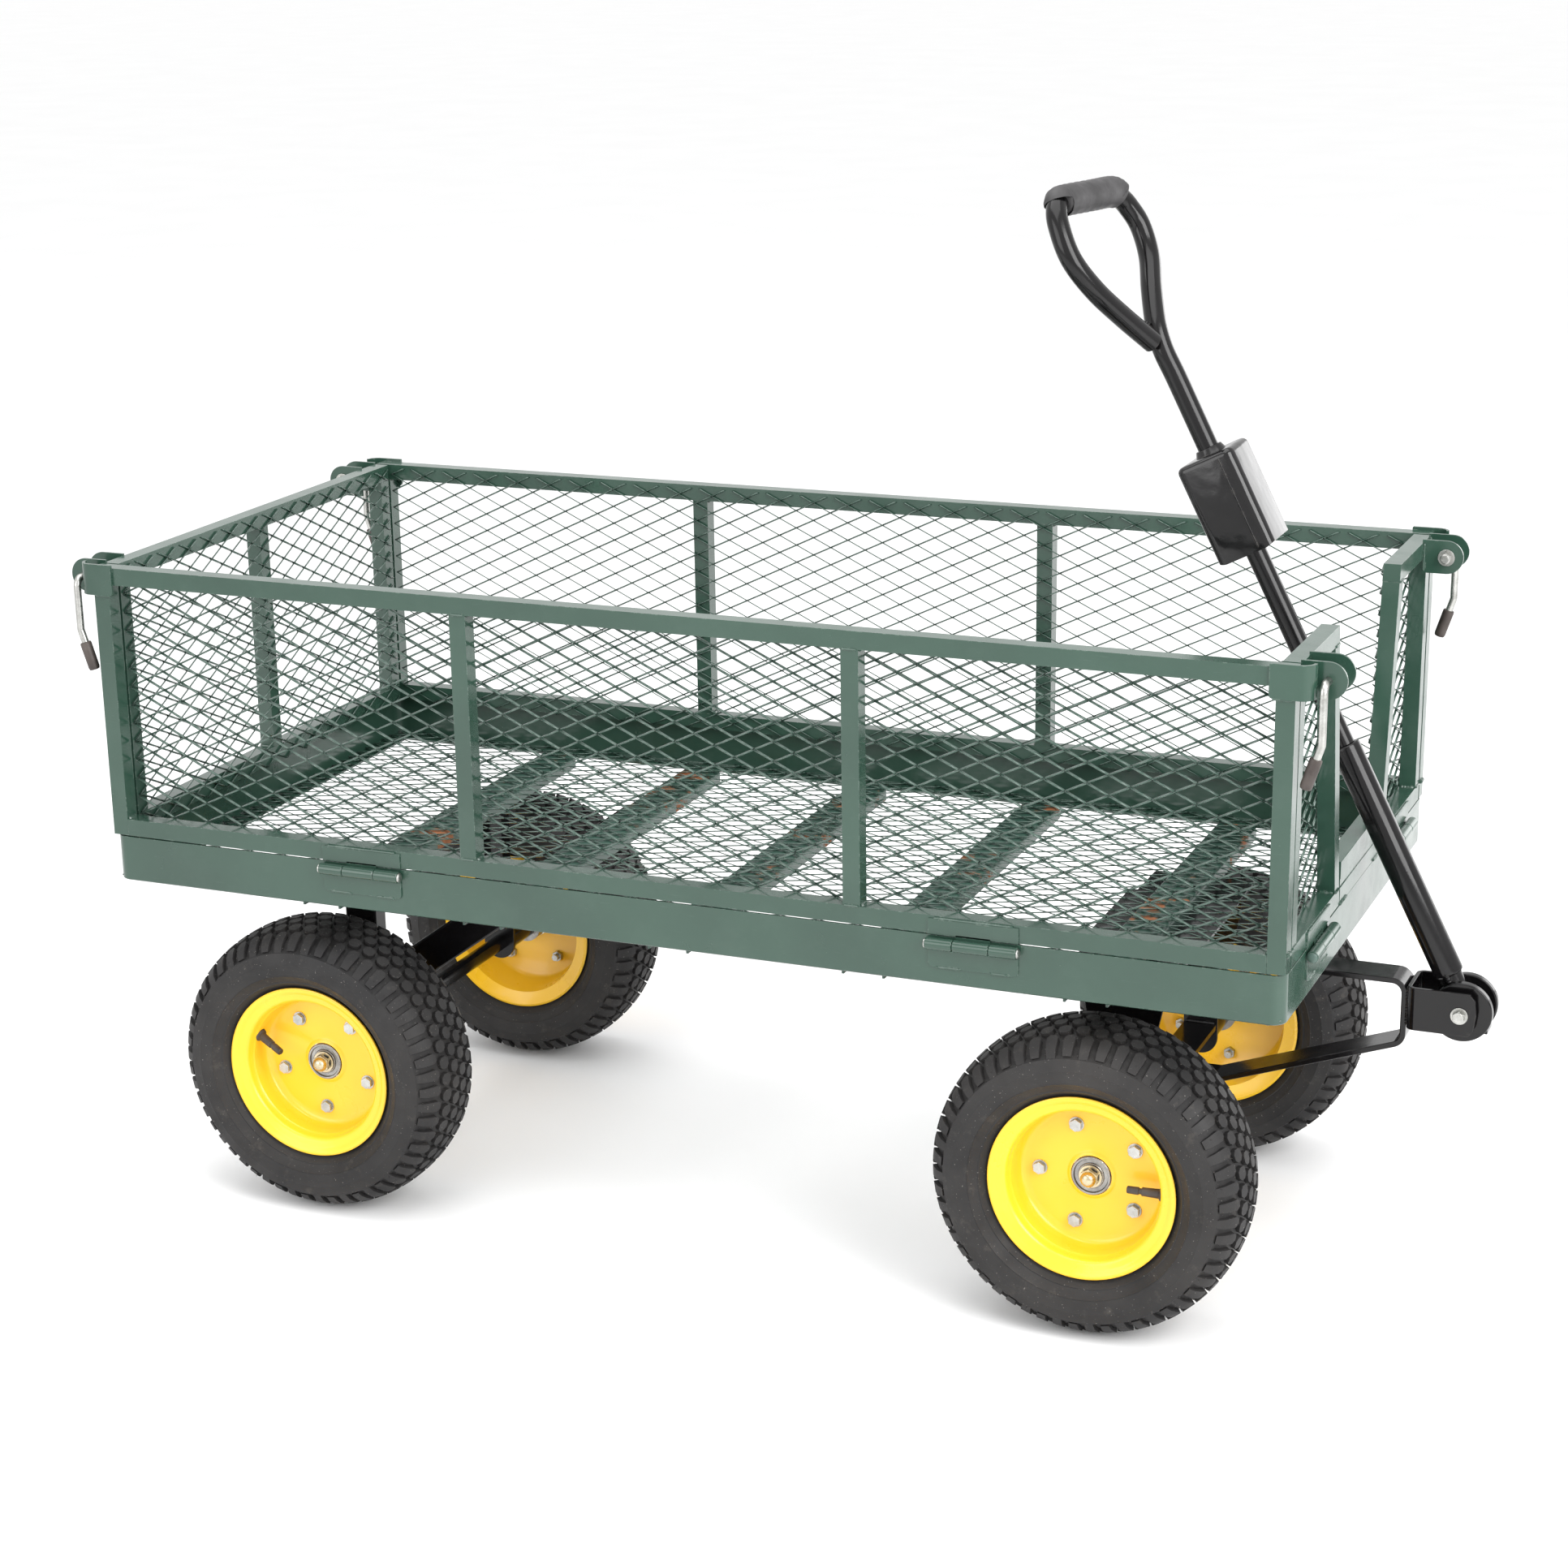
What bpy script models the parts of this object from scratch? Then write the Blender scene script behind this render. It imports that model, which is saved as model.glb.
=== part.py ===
"""Garden cart for towing or pulling by hand: a mesh bed with hinged panels, on four tyred wheels.

Metres, +Z up, +X ahead, +Y to the cart's left. Shapes are written from the middle of the bed; each
finished piece is then moved by DECK_X, which puts the middle of the whole cart over the origin.
"""

import math

import bmesh
import bpy
from mathutils import Matrix, Quaternion, Vector

DECK_X = -0.05025
LEFT, RIGHT = 1, -1
FRONT, REAR = 1, -1
SIDE_NAMES = {LEFT: "left", RIGHT: "right"}
END_NAMES = {FRONT: "front", REAR: "rear"}

# Bed
BED_HALF_LENGTH = 0.635
BED_HALF_WIDTH = 0.305
SKIRT_LOW, SKIRT_TOP = 0.361, 0.410
SKIRT_SHEET = 0.0025
SKIRT_CORNER = 0.014
FLANGE = 0.025
FLOOR_LOW, FLOOR_TOP = 0.3638, 0.3668
CHANNEL_X = (-0.40, -0.21, 0.0, 0.21, 0.437)
CHANNEL_WIDTH, CHANNEL_LOW, CHANNEL_TOP = 0.045, 0.3485, 0.3635
CHANNEL_SHEET = 0.0025

# Panels
TUBE = 0.018
PANEL_LOW, PANEL_TOP = 0.4115, 0.702
SIDE_BAR_X = 0.2085
GATE_HALF_WIDTH = 0.2835
NOTCH_LOW_Y, NOTCH_TOP_Y = 0.090, 0.135
MESH_SHEET = 0.0025
MESH_GAP = 0.0003
MESH_LOW, MESH_TOP = 0.4105, 0.698
SILL_HALF_WIDTH, SILL_LOW, SILL_TOP = 0.0885, 0.4103, 0.455

# Hinges
HINGE_Z = 0.4035
HINGE_OUT = 0.0065
HINGE_HALF = 0.046
KNUCKLE_RADIUS, KNUCKLE_BORE = 0.006, 0.0037
MIDDLE_KNUCKLE, KNUCKLE_GAP = 0.018, 0.0005
LEAF_IN, LEAF_OUT = -0.0070, -0.0047
PIN_RADIUS, PIN_HEAD, PIN_HEAD_LENGTH = 0.0032, 0.005, 0.002
SIDE_HINGE_X = 0.333
REAR_HINGE_Y = 0.165
FRONT_HINGE_Y = 0.180

# Latches
LATCH_X, LATCH_Z = 0.659, 0.687
EAR_RADIUS, EAR_SHEET = 0.0175, 0.003
EAR_Y = (0.248, 0.280)
LEVER_RADIUS, LEVER_Y = 0.004, 0.300
LEVER_BORE = 0.0046
GRIP_RADIUS, GRIP_BORE = 0.0060, 0.0046

# Wheels
WHEEL_STEPS = 24
TYRE_RADIUS = 0.160
WHEEL_Y = 0.242
FRONT_AXLE_X, REAR_AXLE_X, AXLE_Z = 0.437, -0.426, 0.160
AXLE_RADIUS = 0.00925
HUB_RADIUS, HUB_BORE = 0.020, 0.0099
HUB_IN, HUB_OUT = 0.2225, 0.2525
AXLE_END = 0.2700
KINGPIN_RADIUS, KINGPIN_BORE = 0.008, 0.0086

# Tongue and handle
CLEVIS_X, CLEVIS_Z = 0.746, 0.288
BOLT_RADIUS, BOLT_BORE = 0.006, 0.0066
HANDLE_LEAN = math.radians(26.9)
GRIP_TWIST = math.radians(13)
SHAFT_RADIUS = 0.0105
LOWER_RADIUS, LOWER_TOP = 0.015, 0.291
FOOT_RADIUS = 0.031

GREEN = ((0.050, 0.115, 0.085, 1), 0.0, 0.35)
BLACK = ((0.020, 0.019, 0.021, 1), 0.0, 0.35)
YELLOW = ((0.90, 0.55, 0.05, 1), 0.0, 0.35)
ZINC = ((0.62, 0.62, 0.60, 1), 1.0, 0.35)
RUBBER = ((0.030, 0.028, 0.028, 1), 0.0, 0.85)
VINYL = ((0.030, 0.022, 0.020, 1), 0.0, 0.55)


# ---- shapes, each a closed mesh object that is later joined into a piece

PLANES = {
    "xy": Matrix.Identity(4),
    "xz": Matrix(((1, 0, 0, 0), (0, 0, -1, 0), (0, 1, 0, 0), (0, 0, 0, 1))),
    "yz": Matrix(((0, 0, 1, 0), (1, 0, 0, 0), (0, 1, 0, 0), (0, 0, 0, 1))),
}
THICKNESS = {"xy": Vector((0, 0, 1)), "xz": Vector((0, 1, 0)), "yz": Vector((1, 0, 0))}
WELD = 1e-6


def linked(name, data):
    shape = bpy.data.objects.new(name, data)
    bpy.context.scene.collection.objects.link(shape)
    return shape


def shape_from(solid):
    mesh = bpy.data.meshes.new("shape")
    solid.to_mesh(mesh)
    solid.free()
    return linked("shape", mesh)


def as_mesh(source):
    """What a curve or a modifier makes, as a mesh of its own with its seams welded."""
    graph = bpy.context.evaluated_depsgraph_get()
    mesh = bpy.data.meshes.new_from_object(source.evaluated_get(graph))
    bpy.data.objects.remove(source)
    solid = bmesh.new()
    solid.from_mesh(mesh)
    bmesh.ops.remove_doubles(solid, verts=solid.verts, dist=WELD)
    bmesh.ops.recalc_face_normals(solid, faces=solid.faces)
    return shape_from(solid)


def placed(shape, matrix):
    shape.data.transform(matrix)
    if matrix.determinant() < 0:
        shape.data.flip_normals()
    return shape


def box(low, high):
    low, high = Vector(low), Vector(high)
    solid = bmesh.new()
    scale = Matrix.Diagonal((*(high - low), 1))
    bmesh.ops.create_cube(solid, size=1, matrix=Matrix.Translation((low + high) / 2) @ scale)
    return shape_from(solid)


def rod(start, end, radius, sides=8):
    start, end = Vector(start), Vector(end)
    along = end - start
    turn = along.to_track_quat("Z", "Y").to_matrix().to_4x4()
    middle = Matrix.Translation((start + end) / 2)
    solid = bmesh.new()
    bmesh.ops.create_cone(
        solid,
        cap_ends=True,
        segments=sides,
        radius1=radius,
        radius2=radius,
        depth=along.length,
        matrix=middle @ turn,
    )
    return shape_from(solid)


def tube(start, end, radius, bore, sides=8):
    start, end = Vector(start), Vector(end)
    past = (end - start).normalized() * 0.002
    outside = rod(start, end, radius, sides)
    boolean(outside, rod(start - past, end + past, bore, sides), "DIFFERENCE")
    return outside


def add_spline(curve, points, cyclic):
    spline = curve.splines.new("POLY")
    spline.points.add(len(points) - 1)
    for target, point in zip(spline.points, points):
        target.co = (*point, 1)
    spline.use_cyclic_u = cyclic


def bent_rod(path, radius, resolution=2):
    """A round bar along a path of points."""
    curve = bpy.data.curves.new("path", "CURVE")
    curve.dimensions = "3D"
    curve.bevel_depth = radius
    curve.bevel_resolution = resolution
    curve.use_fill_caps = True
    add_spline(curve, path, cyclic=False)
    return as_mesh(linked("path", curve))


def plate(outline, plane, low, high, windows=()):
    """A flat outline in the plane "xy", "xz" or "yz" with windows in it, thick from low to high."""
    curve = bpy.data.curves.new("outline", "CURVE")
    curve.dimensions = "2D"
    curve.fill_mode = "BOTH"
    curve.extrude = abs(high - low) / 2
    add_spline(curve, [(a, b, 0) for a, b in outline], cyclic=True)
    middle = Matrix.Translation(THICKNESS[plane] * (low + high) / 2)
    solid = placed(as_mesh(linked("outline", curve)), middle @ PLANES[plane])
    for window in windows:
        boolean(solid, plate(window, plane, low - 0.01, high + 0.01), "DIFFERENCE")
    return solid


def turned(profile, centre, side, steps):
    """A closed profile of (radius, outward distance) turned about an axle along Y, flat side down."""
    section = bmesh.new()
    corners = [section.verts.new((radius, 0, out)) for radius, out in profile]
    for corner, following in zip(corners, corners[1:] + corners[:1]):
        section.edges.new((corner, following))
    shape = shape_from(section)
    screw = shape.modifiers.new("turn", "SCREW")
    screw.steps = steps
    screw.render_steps = steps
    screw.use_merge_vertices = True
    screw.merge_threshold = WELD
    half_step = Matrix.Rotation(math.pi / steps, 4, "Z")
    outwards = Matrix.Rotation(-side * math.pi / 2, 4, "X")
    return placed(as_mesh(shape), Matrix.Translation(centre) @ outwards @ half_step)


def rectangle(low_a, low_b, high_a, high_b):
    return [(low_a, low_b), (high_a, low_b), (high_a, high_b), (low_a, high_b)]


def rounded_path(points, radius, steps=3):
    """The path with each inner corner replaced by an arc."""
    points = [Vector(point) for point in points]
    path = [points[0]]
    for before, corner, after in zip(points, points[1:], points[2:]):
        back, ahead = (before - corner).normalized(), (after - corner).normalized()
        half = back.angle(ahead) / 2
        reach = radius / math.tan(half)
        centre = corner + (back + ahead).normalized() * radius / math.sin(half)
        start = corner + back * reach - centre
        turn = start.rotation_difference(corner + ahead * reach - centre)
        path += [centre + Quaternion().slerp(turn, i / steps) @ start for i in range(steps + 1)]
    path.append(points[-1])
    return path


def strip_outline(path, thickness):
    """The outline of a strip of even thickness that follows a flat path of (a, b) points."""
    left, right = [], []
    for i, point in enumerate(path):
        before, after = path[max(i - 1, 0)], path[min(i + 1, len(path) - 1)]
        along = (Vector(after) - Vector(before)).normalized()
        normal = Vector((-along.y, along.x)) * thickness / 2
        left.append(tuple(Vector(point) + normal))
        right.append(tuple(Vector(point) - normal))
    return left + right[::-1]


# ---- pieces


def boolean(target, other, operation):
    modifier = target.modifiers.new(operation.lower(), "BOOLEAN")
    modifier.operation = operation
    modifier.solver = "EXACT"
    modifier.object = other
    graph = bpy.context.evaluated_depsgraph_get()
    result = bpy.data.meshes.new_from_object(target.evaluated_get(graph))
    target.modifiers.clear()
    target.data = result
    bpy.data.objects.remove(other)


def material_for(name, look):
    colour, metallic, roughness = look
    material = bpy.data.materials.new(name)
    material.diffuse_color = colour
    material.use_nodes = True
    shader = material.node_tree.nodes["Principled BSDF"]
    shader.inputs["Base Color"].default_value = colour
    shader.inputs["Metallic"].default_value = metallic
    shader.inputs["Roughness"].default_value = roughness
    return material


def piece(name, look, shapes, cutters=(), pivot=(0, 0, 0)):
    """Joins shapes into one solid, takes the cutters away and puts its origin on its pivot."""
    solid, *others = shapes
    for shape in others:
        boolean(solid, shape, "UNION")
    for cutter in cutters:
        boolean(solid, cutter, "DIFFERENCE")
    solid.data.transform(Matrix.Translation(-Vector(pivot)))
    solid.location = Vector(pivot) + Vector((DECK_X, 0, 0))
    solid.name = name
    solid.data.name = name
    solid.data.shade_smooth()
    solid.data.set_sharp_from_angle(angle=math.radians(40))
    solid.data.materials.clear()
    solid.data.materials.append(material_for(name, look))
    bpy.context.scene.collection.objects.unlink(solid)
    cart.objects.link(solid)
    return solid


# ---- hinges


def hinge_matrix(x, y, side, end):
    """Places hinge shapes, written along X and outwards along Y, on a side (end 0) or an end (side 0)."""
    if side:
        along, outward = Vector((1, 0, 0)), Vector((0, side, 0))
    else:
        along, outward = Vector((0, 1, 0)), Vector((end, 0, 0))
    turn = Matrix((along, outward, Vector((0, 0, 1)))).transposed().to_4x4()
    return Matrix.Translation((x, y, HINGE_Z)) @ turn


def side_hinges(side):
    y = side * (BED_HALF_WIDTH + HINGE_OUT)
    return [hinge_matrix(x, y, side, 0) for x in (-SIDE_HINGE_X, SIDE_HINGE_X)]


def end_hinge(end, y):
    return hinge_matrix(end * (BED_HALF_LENGTH + HINGE_OUT), y, 0, end)


def knuckle(low, high, matrix):
    return placed(tube((low, 0, 0), (high, 0, 0), KNUCKLE_RADIUS, KNUCKLE_BORE, 10), matrix)


def lower_leaf(matrix):
    """The bed's half of a hinge: a leaf with two outer knuckles."""
    shapes = [placed(box((-0.0455, LEAF_IN, -0.0255), (0.0455, LEAF_OUT, -0.0070)), matrix)]
    for way in (-1, 1):
        start, stop = sorted((way * (MIDDLE_KNUCKLE + KNUCKLE_GAP), way * HINGE_HALF))
        tab_start, tab_stop = start + 0.0005, stop - 0.0005
        shapes.append(placed(box((tab_start, LEAF_IN, -0.0080), (tab_stop, LEAF_OUT, 0.0)), matrix))
        shapes.append(knuckle(start, stop, matrix))
    return shapes


def upper_leaf(matrix):
    """The panel's half of a hinge: a leaf with the middle knuckle."""
    tab = MIDDLE_KNUCKLE - 0.0005
    return [
        placed(box((-0.0455, LEAF_IN, 0.0075), (0.0455, LEAF_OUT, 0.0240)), matrix),
        placed(box((-tab, LEAF_IN + 0.0008, 0.0), (tab, LEAF_OUT - 0.0003, 0.0090)), matrix),
        knuckle(-MIDDLE_KNUCKLE, MIDDLE_KNUCKLE, matrix),
    ]


def hinge_pin(name, matrix):
    end = HINGE_HALF + 0.0004
    shapes = [rod((-end - 0.001, 0, 0), (end + 0.001, 0, 0), PIN_RADIUS, 10)]
    for way in (-1, 1):
        shapes.append(rod((way * end, 0, 0), (way * (end + PIN_HEAD_LENGTH), 0, 0), PIN_HEAD, 10))
    for shape in shapes:
        placed(shape, matrix)
    piece(name, ZINC, shapes, pivot=matrix.translation)


def hinge_pins():
    for side in (LEFT, RIGHT):
        for matrix, place in zip(side_hinges(side), ("rear", "front")):
            hinge_pin(f"hinge_pin_{SIDE_NAMES[side]}_{place}", matrix)
        hinge_pin(f"hinge_pin_rear_gate_{SIDE_NAMES[side]}", end_hinge(REAR, side * REAR_HINGE_Y))
        hinge_pin(f"hinge_pin_front_gate_{SIDE_NAMES[side]}", end_hinge(FRONT, side * FRONT_HINGE_Y))


# ---- bed


def rounded_rectangle(half_length, half_width, radius, steps=3):
    outline = []
    for quarter in range(4):
        x_way = 1 if quarter in (0, 3) else -1
        y_way = 1 if quarter in (0, 1) else -1
        centre = (x_way * (half_length - radius), y_way * (half_width - radius))
        for i in range(steps + 1):
            angle = math.pi / 2 * (quarter + i / steps)
            outline.append((centre[0] + radius * math.cos(angle), centre[1] + radius * math.sin(angle)))
    return outline


def skirt():
    """The bed's upright rim with a flange turned in at the bottom."""

    def inside(inset, low):
        radius = max(SKIRT_CORNER - inset, 0.002)
        outline = rounded_rectangle(BED_HALF_LENGTH - inset, BED_HALF_WIDTH - inset, radius)
        return plate(outline, "xy", low, SKIRT_TOP + 0.01)

    outline = rounded_rectangle(BED_HALF_LENGTH, BED_HALF_WIDTH, SKIRT_CORNER)
    rim = plate(outline, "xy", SKIRT_LOW, SKIRT_TOP)
    boolean(rim, inside(SKIRT_SHEET, SKIRT_LOW + SKIRT_SHEET), "DIFFERENCE")
    boolean(rim, inside(FLANGE, SKIRT_LOW - 0.01), "DIFFERENCE")
    return rim


def bed():
    shapes = [skirt()]
    for side in (LEFT, RIGHT):
        for matrix in side_hinges(side):
            shapes += lower_leaf(matrix)
        shapes += lower_leaf(end_hinge(REAR, side * REAR_HINGE_Y))
        shapes += lower_leaf(end_hinge(FRONT, side * FRONT_HINGE_Y))
    piece("bed_frame", GREEN, shapes)
    inset = SKIRT_SHEET + 0.0007
    outline = rounded_rectangle(BED_HALF_LENGTH - inset, BED_HALF_WIDTH - inset, SKIRT_CORNER)
    piece("bed_floor_mesh", GREEN, [plate(outline, "xy", FLOOR_LOW, FLOOR_TOP)])
    sill_low = (BED_HALF_LENGTH - TUBE, -SILL_HALF_WIDTH, SILL_LOW)
    piece("front_sill", GREEN, [box(sill_low, (BED_HALF_LENGTH, SILL_HALF_WIDTH, SILL_TOP))])


def channel_outline(centre, half, top, low, sheet):
    """An inverted channel seen end on."""
    return [
        (centre - half, low),
        (centre - half, top),
        (centre + half, top),
        (centre + half, low),
        (centre + half - sheet, low),
        (centre + half - sheet, top - sheet),
        (centre - half + sheet, top - sheet),
        (centre - half + sheet, low),
    ]


def floor_channels():
    reach = BED_HALF_WIDTH - FLANGE - 0.0005
    for number, x in enumerate(CHANNEL_X, 1):
        outline = channel_outline(x, CHANNEL_WIDTH / 2, CHANNEL_TOP, CHANNEL_LOW, CHANNEL_SHEET)
        piece(f"floor_channel_{number}", GREEN, [plate(outline, "xz", -reach, reach)])


# ---- panels


def latch_wrap(side, end):
    """The corner plate that a side panel carries round towards the latch."""
    outer = BED_HALF_WIDTH + 0.0010
    path = [(0.611, outer), (0.6420, outer), (0.6480, outer - 0.0020), (0.6503, outer - 0.0065)]
    path.append((0.6503, 0.2945))
    outline = [(end * x, side * y) for x, y in strip_outline(path, 0.003)]
    return plate(outline, "xy", 0.6726, 0.7053)


def side_panel(side):
    name = SIDE_NAMES[side]
    low, high = sorted((side * (BED_HALF_WIDTH - TUBE), side * BED_HALF_WIDTH))
    outline = rectangle(-BED_HALF_LENGTH, PANEL_LOW, BED_HALF_LENGTH, PANEL_TOP)
    inner, half_bar = BED_HALF_LENGTH - TUBE, TUBE / 2
    spans = ((-inner, -SIDE_BAR_X - half_bar), (-SIDE_BAR_X + half_bar, SIDE_BAR_X - half_bar))
    spans += ((SIDE_BAR_X + half_bar, inner),)
    windows = [rectangle(a, PANEL_LOW + TUBE, b, PANEL_TOP - TUBE) for a, b in spans]
    shapes = [plate(outline, "xz", low, high, windows)]
    for matrix in side_hinges(side):
        shapes += upper_leaf(matrix)
    shapes += [latch_wrap(side, end) for end in (FRONT, REAR)]
    pivot = (0, side * (BED_HALF_WIDTH + HINGE_OUT), HINGE_Z)
    piece(f"{name}_side_frame", GREEN, shapes, pivot=pivot)
    face = BED_HALF_WIDTH - TUBE - MESH_GAP
    low, high = sorted((side * face, side * (face - MESH_SHEET)))
    sheet = box((-inner + 0.004, low, MESH_LOW), (inner - 0.004, high, MESH_TOP))
    piece(f"{name}_side_mesh", GREEN, [sheet], pivot=pivot)


def ear(end, y):
    """A round-ended lug on a gate, bored for the latch lever."""
    points = [(0.633, LATCH_Z - EAR_RADIUS)]
    for i in range(9):
        angle = -math.pi / 2 + math.pi * i / 8
        points.append((LATCH_X + EAR_RADIUS * math.cos(angle), LATCH_Z + EAR_RADIUS * math.sin(angle)))
    points.append((0.633, LATCH_Z + EAR_RADIUS))
    outline = [(end * x, z) for x, z in points]
    low, high = sorted((y, y + math.copysign(EAR_SHEET, y)))
    return plate(outline, "xz", low, high)


def ears_and_bores(end, side):
    ears = [ear(end, side * y) for y in EAR_Y]
    bore_start = (end * LATCH_X, side * (EAR_Y[0] - 0.01), LATCH_Z)
    bore = rod(bore_start, (end * LATCH_X, side * 0.295, LATCH_Z), LEVER_BORE)
    return ears, bore


def gate(name, end, outline, windows, hinges_y, latch_sides, mesh_outline):
    low, high = sorted((end * (BED_HALF_LENGTH - TUBE), end * BED_HALF_LENGTH))
    shapes = [plate(outline, "yz", low, high, windows)]
    cutters = []
    for y in hinges_y:
        shapes += upper_leaf(end_hinge(end, y))
    for side in latch_sides:
        ears, bore = ears_and_bores(end, side)
        shapes += ears
        cutters.append(bore)
    pivot = (end * (BED_HALF_LENGTH + HINGE_OUT), 0, HINGE_Z)
    piece(f"{name}_frame", GREEN, shapes, cutters, pivot)
    face = BED_HALF_LENGTH - TUBE - MESH_GAP
    low, high = sorted((end * face, end * (face - MESH_SHEET)))
    piece(f"{name}_mesh", GREEN, [plate(mesh_outline, "yz", low, high)], pivot=pivot)


def rear_gate():
    edge, half_bar = GATE_HALF_WIDTH, TUBE / 2
    outline = rectangle(-edge, PANEL_LOW, edge, PANEL_TOP)
    windows = []
    for side in (LEFT, RIGHT):
        start, stop = sorted((side * half_bar, side * (edge - TUBE)))
        windows.append(rectangle(start, PANEL_LOW + TUBE, stop, PANEL_TOP - TUBE))
    mesh_outline = rectangle(-edge + 0.004, MESH_LOW, edge - 0.004, MESH_TOP)
    hinges_y = (-REAR_HINGE_Y, REAR_HINGE_Y)
    gate("rear_gate", REAR, outline, windows, hinges_y, (LEFT, RIGHT), mesh_outline)


def notch_y(z):
    """How far from the middle the slanted edge of the front notch is at a height."""
    share = (z - PANEL_LOW) / (PANEL_TOP - PANEL_LOW)
    return NOTCH_LOW_Y + share * (NOTCH_TOP_Y - NOTCH_LOW_Y)


def half_gate_outline(low, top, notch_inset, outer, side):
    corners = [
        (notch_y(low) + notch_inset, low),
        (outer, low),
        (outer, top),
        (notch_y(top) + notch_inset, top),
    ]
    return [(side * y, z) for y, z in corners]


def front_half_gate(side):
    edge = GATE_HALF_WIDTH
    outline = half_gate_outline(PANEL_LOW, PANEL_TOP, 0.0, edge, side)
    window = half_gate_outline(PANEL_LOW + TUBE, PANEL_TOP - TUBE, TUBE, edge - TUBE, side)
    mesh_outline = half_gate_outline(MESH_LOW + 0.001, MESH_TOP, 0.004, edge - 0.004, side)
    name = f"front_gate_{SIDE_NAMES[side]}"
    gate(name, FRONT, outline, [window], (side * FRONT_HINGE_Y,), (side,), mesh_outline)


# ---- latches


def latch(end, side):
    name = f"latch_{END_NAMES[end]}_{SIDE_NAMES[side]}"
    corners = [
        (LATCH_X, 0.2370, LATCH_Z),
        (LATCH_X, LEVER_Y, LATCH_Z),
        (LATCH_X, LEVER_Y, 0.632),
        (0.6455, LEVER_Y, 0.590),
    ]
    lever_path = rounded_path(corners, 0.009)
    washer = rod((LATCH_X, 0.2455, LATCH_Z), (LATCH_X, 0.2476, LATCH_Z), 0.0095, 12)
    nut = rod((LATCH_X, 0.2385, LATCH_Z), (LATCH_X, 0.2460, LATCH_Z), 0.0070, 6)
    grip_end = Vector(corners[-1])
    grip_start = grip_end + (Vector(corners[-2]) - grip_end).normalized() * 0.030
    turn = Matrix.Diagonal((end, side, 1, 1))
    shapes = [placed(shape, turn) for shape in (bent_rod(lever_path, LEVER_RADIUS), washer, nut)]
    pivot = (end * LATCH_X, side * LEVER_Y, LATCH_Z)
    piece(f"{name}_lever", ZINC, shapes, pivot=pivot)
    grip = tube(grip_start, grip_end, GRIP_RADIUS, GRIP_BORE)
    piece(f"{name}_grip", VINYL, [placed(grip, turn)], pivot=pivot)


# ---- wheels and undercarriage

RIM_PROFILE = (
    (0.0955, 0.045),
    (0.0955, 0.042),
    (0.0770, 0.040),
    (0.0770, -0.040),
    (0.0955, -0.042),
    (0.0955, -0.045),
    (0.0740, -0.043),
    (0.0740, 0.0050),
    (0.0204, 0.0050),
    (0.0204, 0.0080),
    (0.0740, 0.0080),
    (0.0740, 0.043),
)
TYRE_OUTSIDE = (
    (0.0778, 0.0390),
    (0.0972, 0.0408),
    (0.1030, 0.0510),
    (0.1220, 0.0580),
    (0.1460, 0.0540),
    (0.1570, 0.0400),
    (0.1600, 0.0150),
)


def both_ways(profile):
    """A profile followed by its mirror image in the wheel's middle plane."""
    return list(profile) + [(radius, -out) for radius, out in reversed(profile)]


def wheel(end, side):
    name = f"{END_NAMES[end]}_{SIDE_NAMES[side]}"
    x = FRONT_AXLE_X if end == FRONT else REAR_AXLE_X
    pivot = (x, side * WHEEL_Y, AXLE_Z)
    flat = 1 / math.cos(math.pi / WHEEL_STEPS)
    profile = [(radius * flat, out) for radius, out in both_ways(TYRE_OUTSIDE)]
    tyre = turned(profile, pivot, side, WHEEL_STEPS)
    piece(f"tyre_{name}", RUBBER, [tyre], pivot=pivot)
    rim = turned(RIM_PROFILE, pivot, side, WHEEL_STEPS)
    piece(f"rim_{name}", YELLOW, [rim], pivot=pivot)
    hub = tube((x, side * HUB_IN, AXLE_Z), (x, side * HUB_OUT, AXLE_Z), HUB_RADIUS, HUB_BORE, 16)
    piece(f"hub_{name}", ZINC, [hub], pivot=pivot)


def axle(name, x, leg_outside):
    """A through axle with a spacer outside each leg and a nut at each end."""
    shapes = [rod((x, -AXLE_END, AXLE_Z), (x, AXLE_END, AXLE_Z), AXLE_RADIUS, 12)]
    for side in (LEFT, RIGHT):
        spacer_ends = (leg_outside + 0.0005, HUB_IN - 0.0005)
        nut_ends = (HUB_OUT + 0.0005, HUB_OUT + 0.0095)
        for ends, radius, sides in ((spacer_ends, 0.014, 12), (nut_ends, 0.0125, 6)):
            start, stop = [(x, side * y, AXLE_Z) for y in ends]
            shapes.append(rod(start, stop, radius, sides))
    piece(name, BLACK, shapes, pivot=(x, 0, AXLE_Z))


def axle_bore(x, y):
    return rod((x, y - 0.03, AXLE_Z), (x, y + 0.03, AXLE_Z), AXLE_RADIUS + 0.0006, 12)


def lug_outline(x, half, top):
    """A strap that ends in a half round below the axle."""
    points = [(x - half, top)]
    for i in range(7):
        angle = math.pi + math.pi * i / 6
        points.append((x + half * math.cos(angle), AXLE_Z + half * math.sin(angle)))
    points.append((x + half, top))
    return points


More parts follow.
